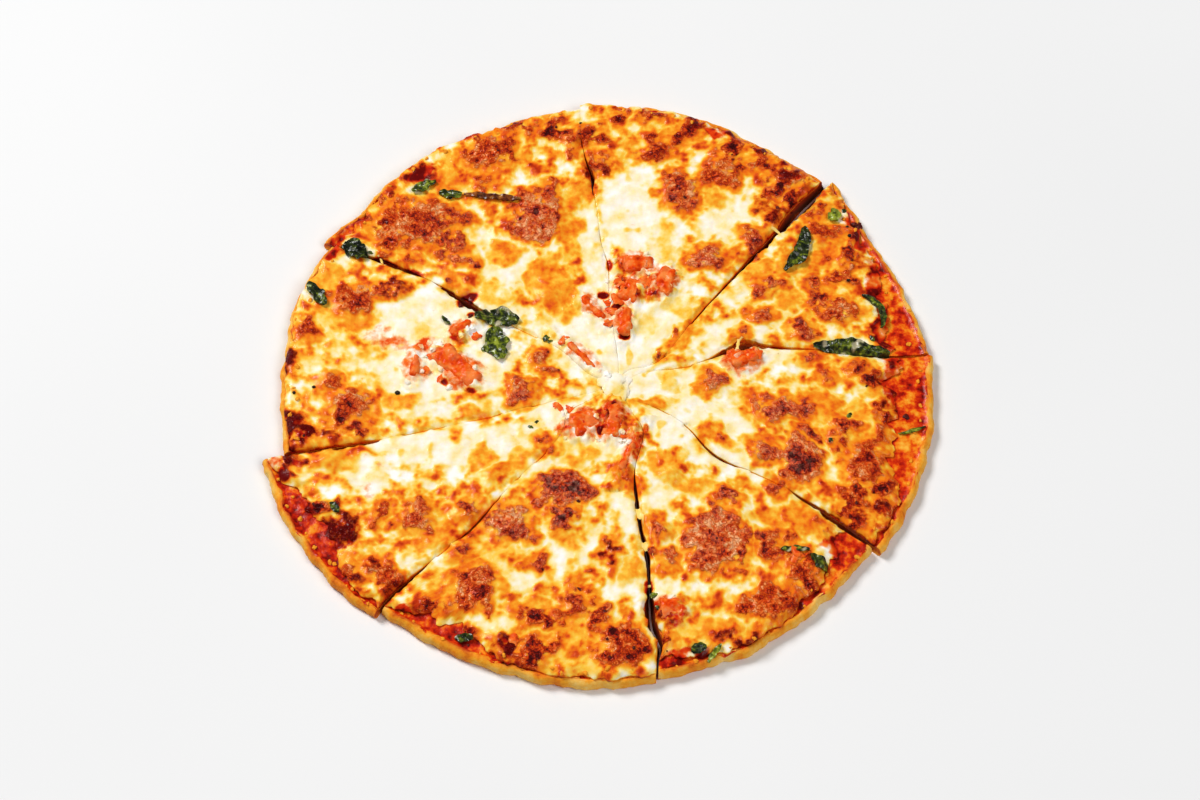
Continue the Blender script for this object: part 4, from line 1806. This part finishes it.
@dataclass
class Studio:
    """The pale table, the soft lights and the camera."""

    table_width: float = 6.0
    elevation: float = 61.5
    distance: float = 1.15
    lens: float = 73.8
    sensor: float = 36.0
    aim: tuple[float, float, float] = (-0.00065, -0.00975, 0.0)
    air: float = 0.15
    gamma: float = 0.9

    def build(self, sheet: Material) -> None:
        """Sets up the table, the lights, the world and the camera.

        Args:
            sheet: The table's material.
        """
        bpy.ops.mesh.primitive_plane_add(size=self.table_width, location=(0, 0, 0))
        table = bpy.context.active_object
        table.name = "pale_table"
        table.data.materials.append(sheet)
        self.hang_light("key_softbox", (-2.2, 1.6, 3.1), 1.3, 136.0)
        self.hang_light("fill_softbox", (1.9, -1.4, 3.2), 2.0, 66.0)
        world = bpy.data.worlds.new("studio_air")
        world.use_nodes = True
        background = world.node_tree.nodes["Background"]
        background.inputs["Color"].default_value = (1.0, 1.0, 1.0, 1.0)
        background.inputs["Strength"].default_value = self.air
        tilt = math.radians(self.elevation)
        away = Vector((0.0, -math.cos(tilt), math.sin(tilt))) * self.distance
        camera = bpy.data.cameras.new("camera")
        camera.lens, camera.sensor_width = self.lens, self.sensor
        scene = bpy.context.scene
        scene.world, scene.camera = world, self.hang("camera", camera, Vector(self.aim) + away, -away)
        scene.view_settings.view_transform = "Standard"
        scene.view_settings.gamma = self.gamma

    @staticmethod
    def hang(name: str, data: bpy.types.ID, place: Vector, way: Vector) -> Thing:
        """Hangs a light or camera in the scene.

        Args:
            name: Its name.
            data: The light or camera.
            place: Where it hangs, in metres.
            way: The way that it faces.

        Returns:
            The object that holds it.
        """
        holder = bpy.data.objects.new(name, data)
        holder.location, holder.rotation_euler = place, way.to_track_quat("-Z", "Y").to_euler()
        bpy.context.scene.collection.objects.link(holder)
        return holder

    def hang_light(self, name: str, place: tuple[float, float, float], size: float, power: float) -> None:
        """Hangs a square softbox that faces the pizza.

        Args:
            name: The light's name.
            place: Where it hangs, in metres.
            size: Its width in metres.
            power: Its power in watts.
        """
        lamp = bpy.data.lights.new(name, "AREA")
        lamp.size, lamp.energy = size, power
        self.hang(name, lamp, Vector(place), -Vector(place))


def build_layers(top: TopOfPizza, dough: Material, sauce: Material, cheese: Material) -> list[Thing]:
    """Builds the three layers of every slice.

    Args:
        top: How the top has baked.
        dough: The crust's material.
        sauce: The sauce's.
        cheese: The cheese's.

    Returns:
        The pieces.
    """
    laid = []
    for layer, name, slot, material, keeps_bottom in (
            (BakedCrust(top), "baked_crust", "crust", dough, True),
            (TomatoSauce(top), "tomato_sauce", "sauce", sauce, False),
            (CheeseLayer(top), "melted_cheese", "cheese", cheese, False)):
        layer.slab = layer.model_slab(keeps_bottom)
        for plan in top.plans:
            laid.append(layer.lay(f"{name}_{plan.number}", plan))
            settle(laid[-1], material, (f"{slot}_{plan.number}",))
        bpy.data.objects.remove(layer.slab, do_unlink=True)
    return laid


def rim_crumbs(plans: list[SlicePlan]) -> list[tuple]:
    """Returns the crumbs on the rim, each x, y and width."""
    spots = [plan.rim(np.array([share]))[0] for plan in plans for share in np.linspace(0.06, 0.94, 12)]
    return scatter([(ON_RIM * x, ON_RIM * y, 0, 0, 0, 1.0) for x, y in spots], 1, 3.5, (0.9, 2.2), 8)


def main() -> None:
    """Builds the pizza's pieces in order, then the studio."""
    logging.basicConfig(level=logging.INFO, format="%(name)s %(message)s")
    plans = [SlicePlan(number) for number in range(1, len(CUTS) + 1)]
    top = TopOfPizza(plans, [outline_of(f"tomato_{number}") for number in range(1, DICE_COUNT + 1)])
    cheese = MeltedCheese("melted_mozzarella", 0.3, 1.42, shine=0.1, coat=0.12, translucency=0.08,
                          light_reach=(2.2, 1.1, 0.5)).build()
    sauce = BakedSauce("baked_tomato_sauce", 0.3, 1.42, coat=0.1).build()
    dough = BakedDough("baked_wheat_dough", 0.62, 1.45).build()
    flesh = TomatoFlesh("soft_tomato_flesh", 0.26, 1.38, shine=0.15, coat=0.05, translucency=0.12,
                        light_reach=(2.0, 1.0, 0.5)).build()
    leaf = WiltedSpinach("wilted_spinach", 0.26, 1.42, shine=0.5, coat=0.1).build()
    feeler = Feeler(build_layers(top, dough, sauce, cheese))
    for topping, count in ((DicedTomato(flesh), DICE_COUNT), (SpinachLeaf(feeler, leaf), len(LEAVES))):
        for number in range(1, count + 1):
            topping.build(number)
    scorched = [row for row in BROWNED if row[-1] >= SCORCHED_FROM]
    curds = [*CURDS, *scatter(top.dice, 2, 4.0, (1.4, 3.0), 5)]
    chars = [*CHARS, *scatter(scorched, 1, -1.0, (0.8, 1.6), 6)]
    burnt = DarkSpeck("burnt_cheese_crust", 0.45, 1.45).build()
    pepper = DarkSpeck("cracked_black_pepper", 0.6, 1.45,
                       stops=((0.3, "#120C08"), (0.55, "#34261C"), (0.75, "#6E5A44"))).build()
    for bits in (LooseBits(BitKind.CURD, "cheese", cheese, curds, 0.42, 0.6, {}, top),
                 LooseBits(BitKind.POOL, "cheese", cheese, POOLS, 0.17, 0.3, {}, top),
                 LooseBits(BitKind.PULP, "tomato", flesh, PULPS, 0.26, 0.8, {"veil": 0.1}),
                 LooseBits(BitKind.CHAR, "cheese", burnt, chars, 0.35, 0.6, {}),
                 LooseBits(BitKind.HERB, "spinach", leaf, HERBS, 0.3, 0.6, {"fresh": 0.3}),
                 LooseBits(BitKind.PEPPER, "spinach", pepper, PEPPERS, 0.7, 0.3, {}),
                 LooseBits(BitKind.CRUMB, "crust", dough, rim_crumbs(plans), 0.6, 0.5, {"bake": 0.5})):
        bits.build(feeler)
    CheeseStrands(cheese).build(feeler)
    Studio().build(WhiteSheet("matt_white_sheet", 0.8).build())


if __name__ == "__main__":
    main()
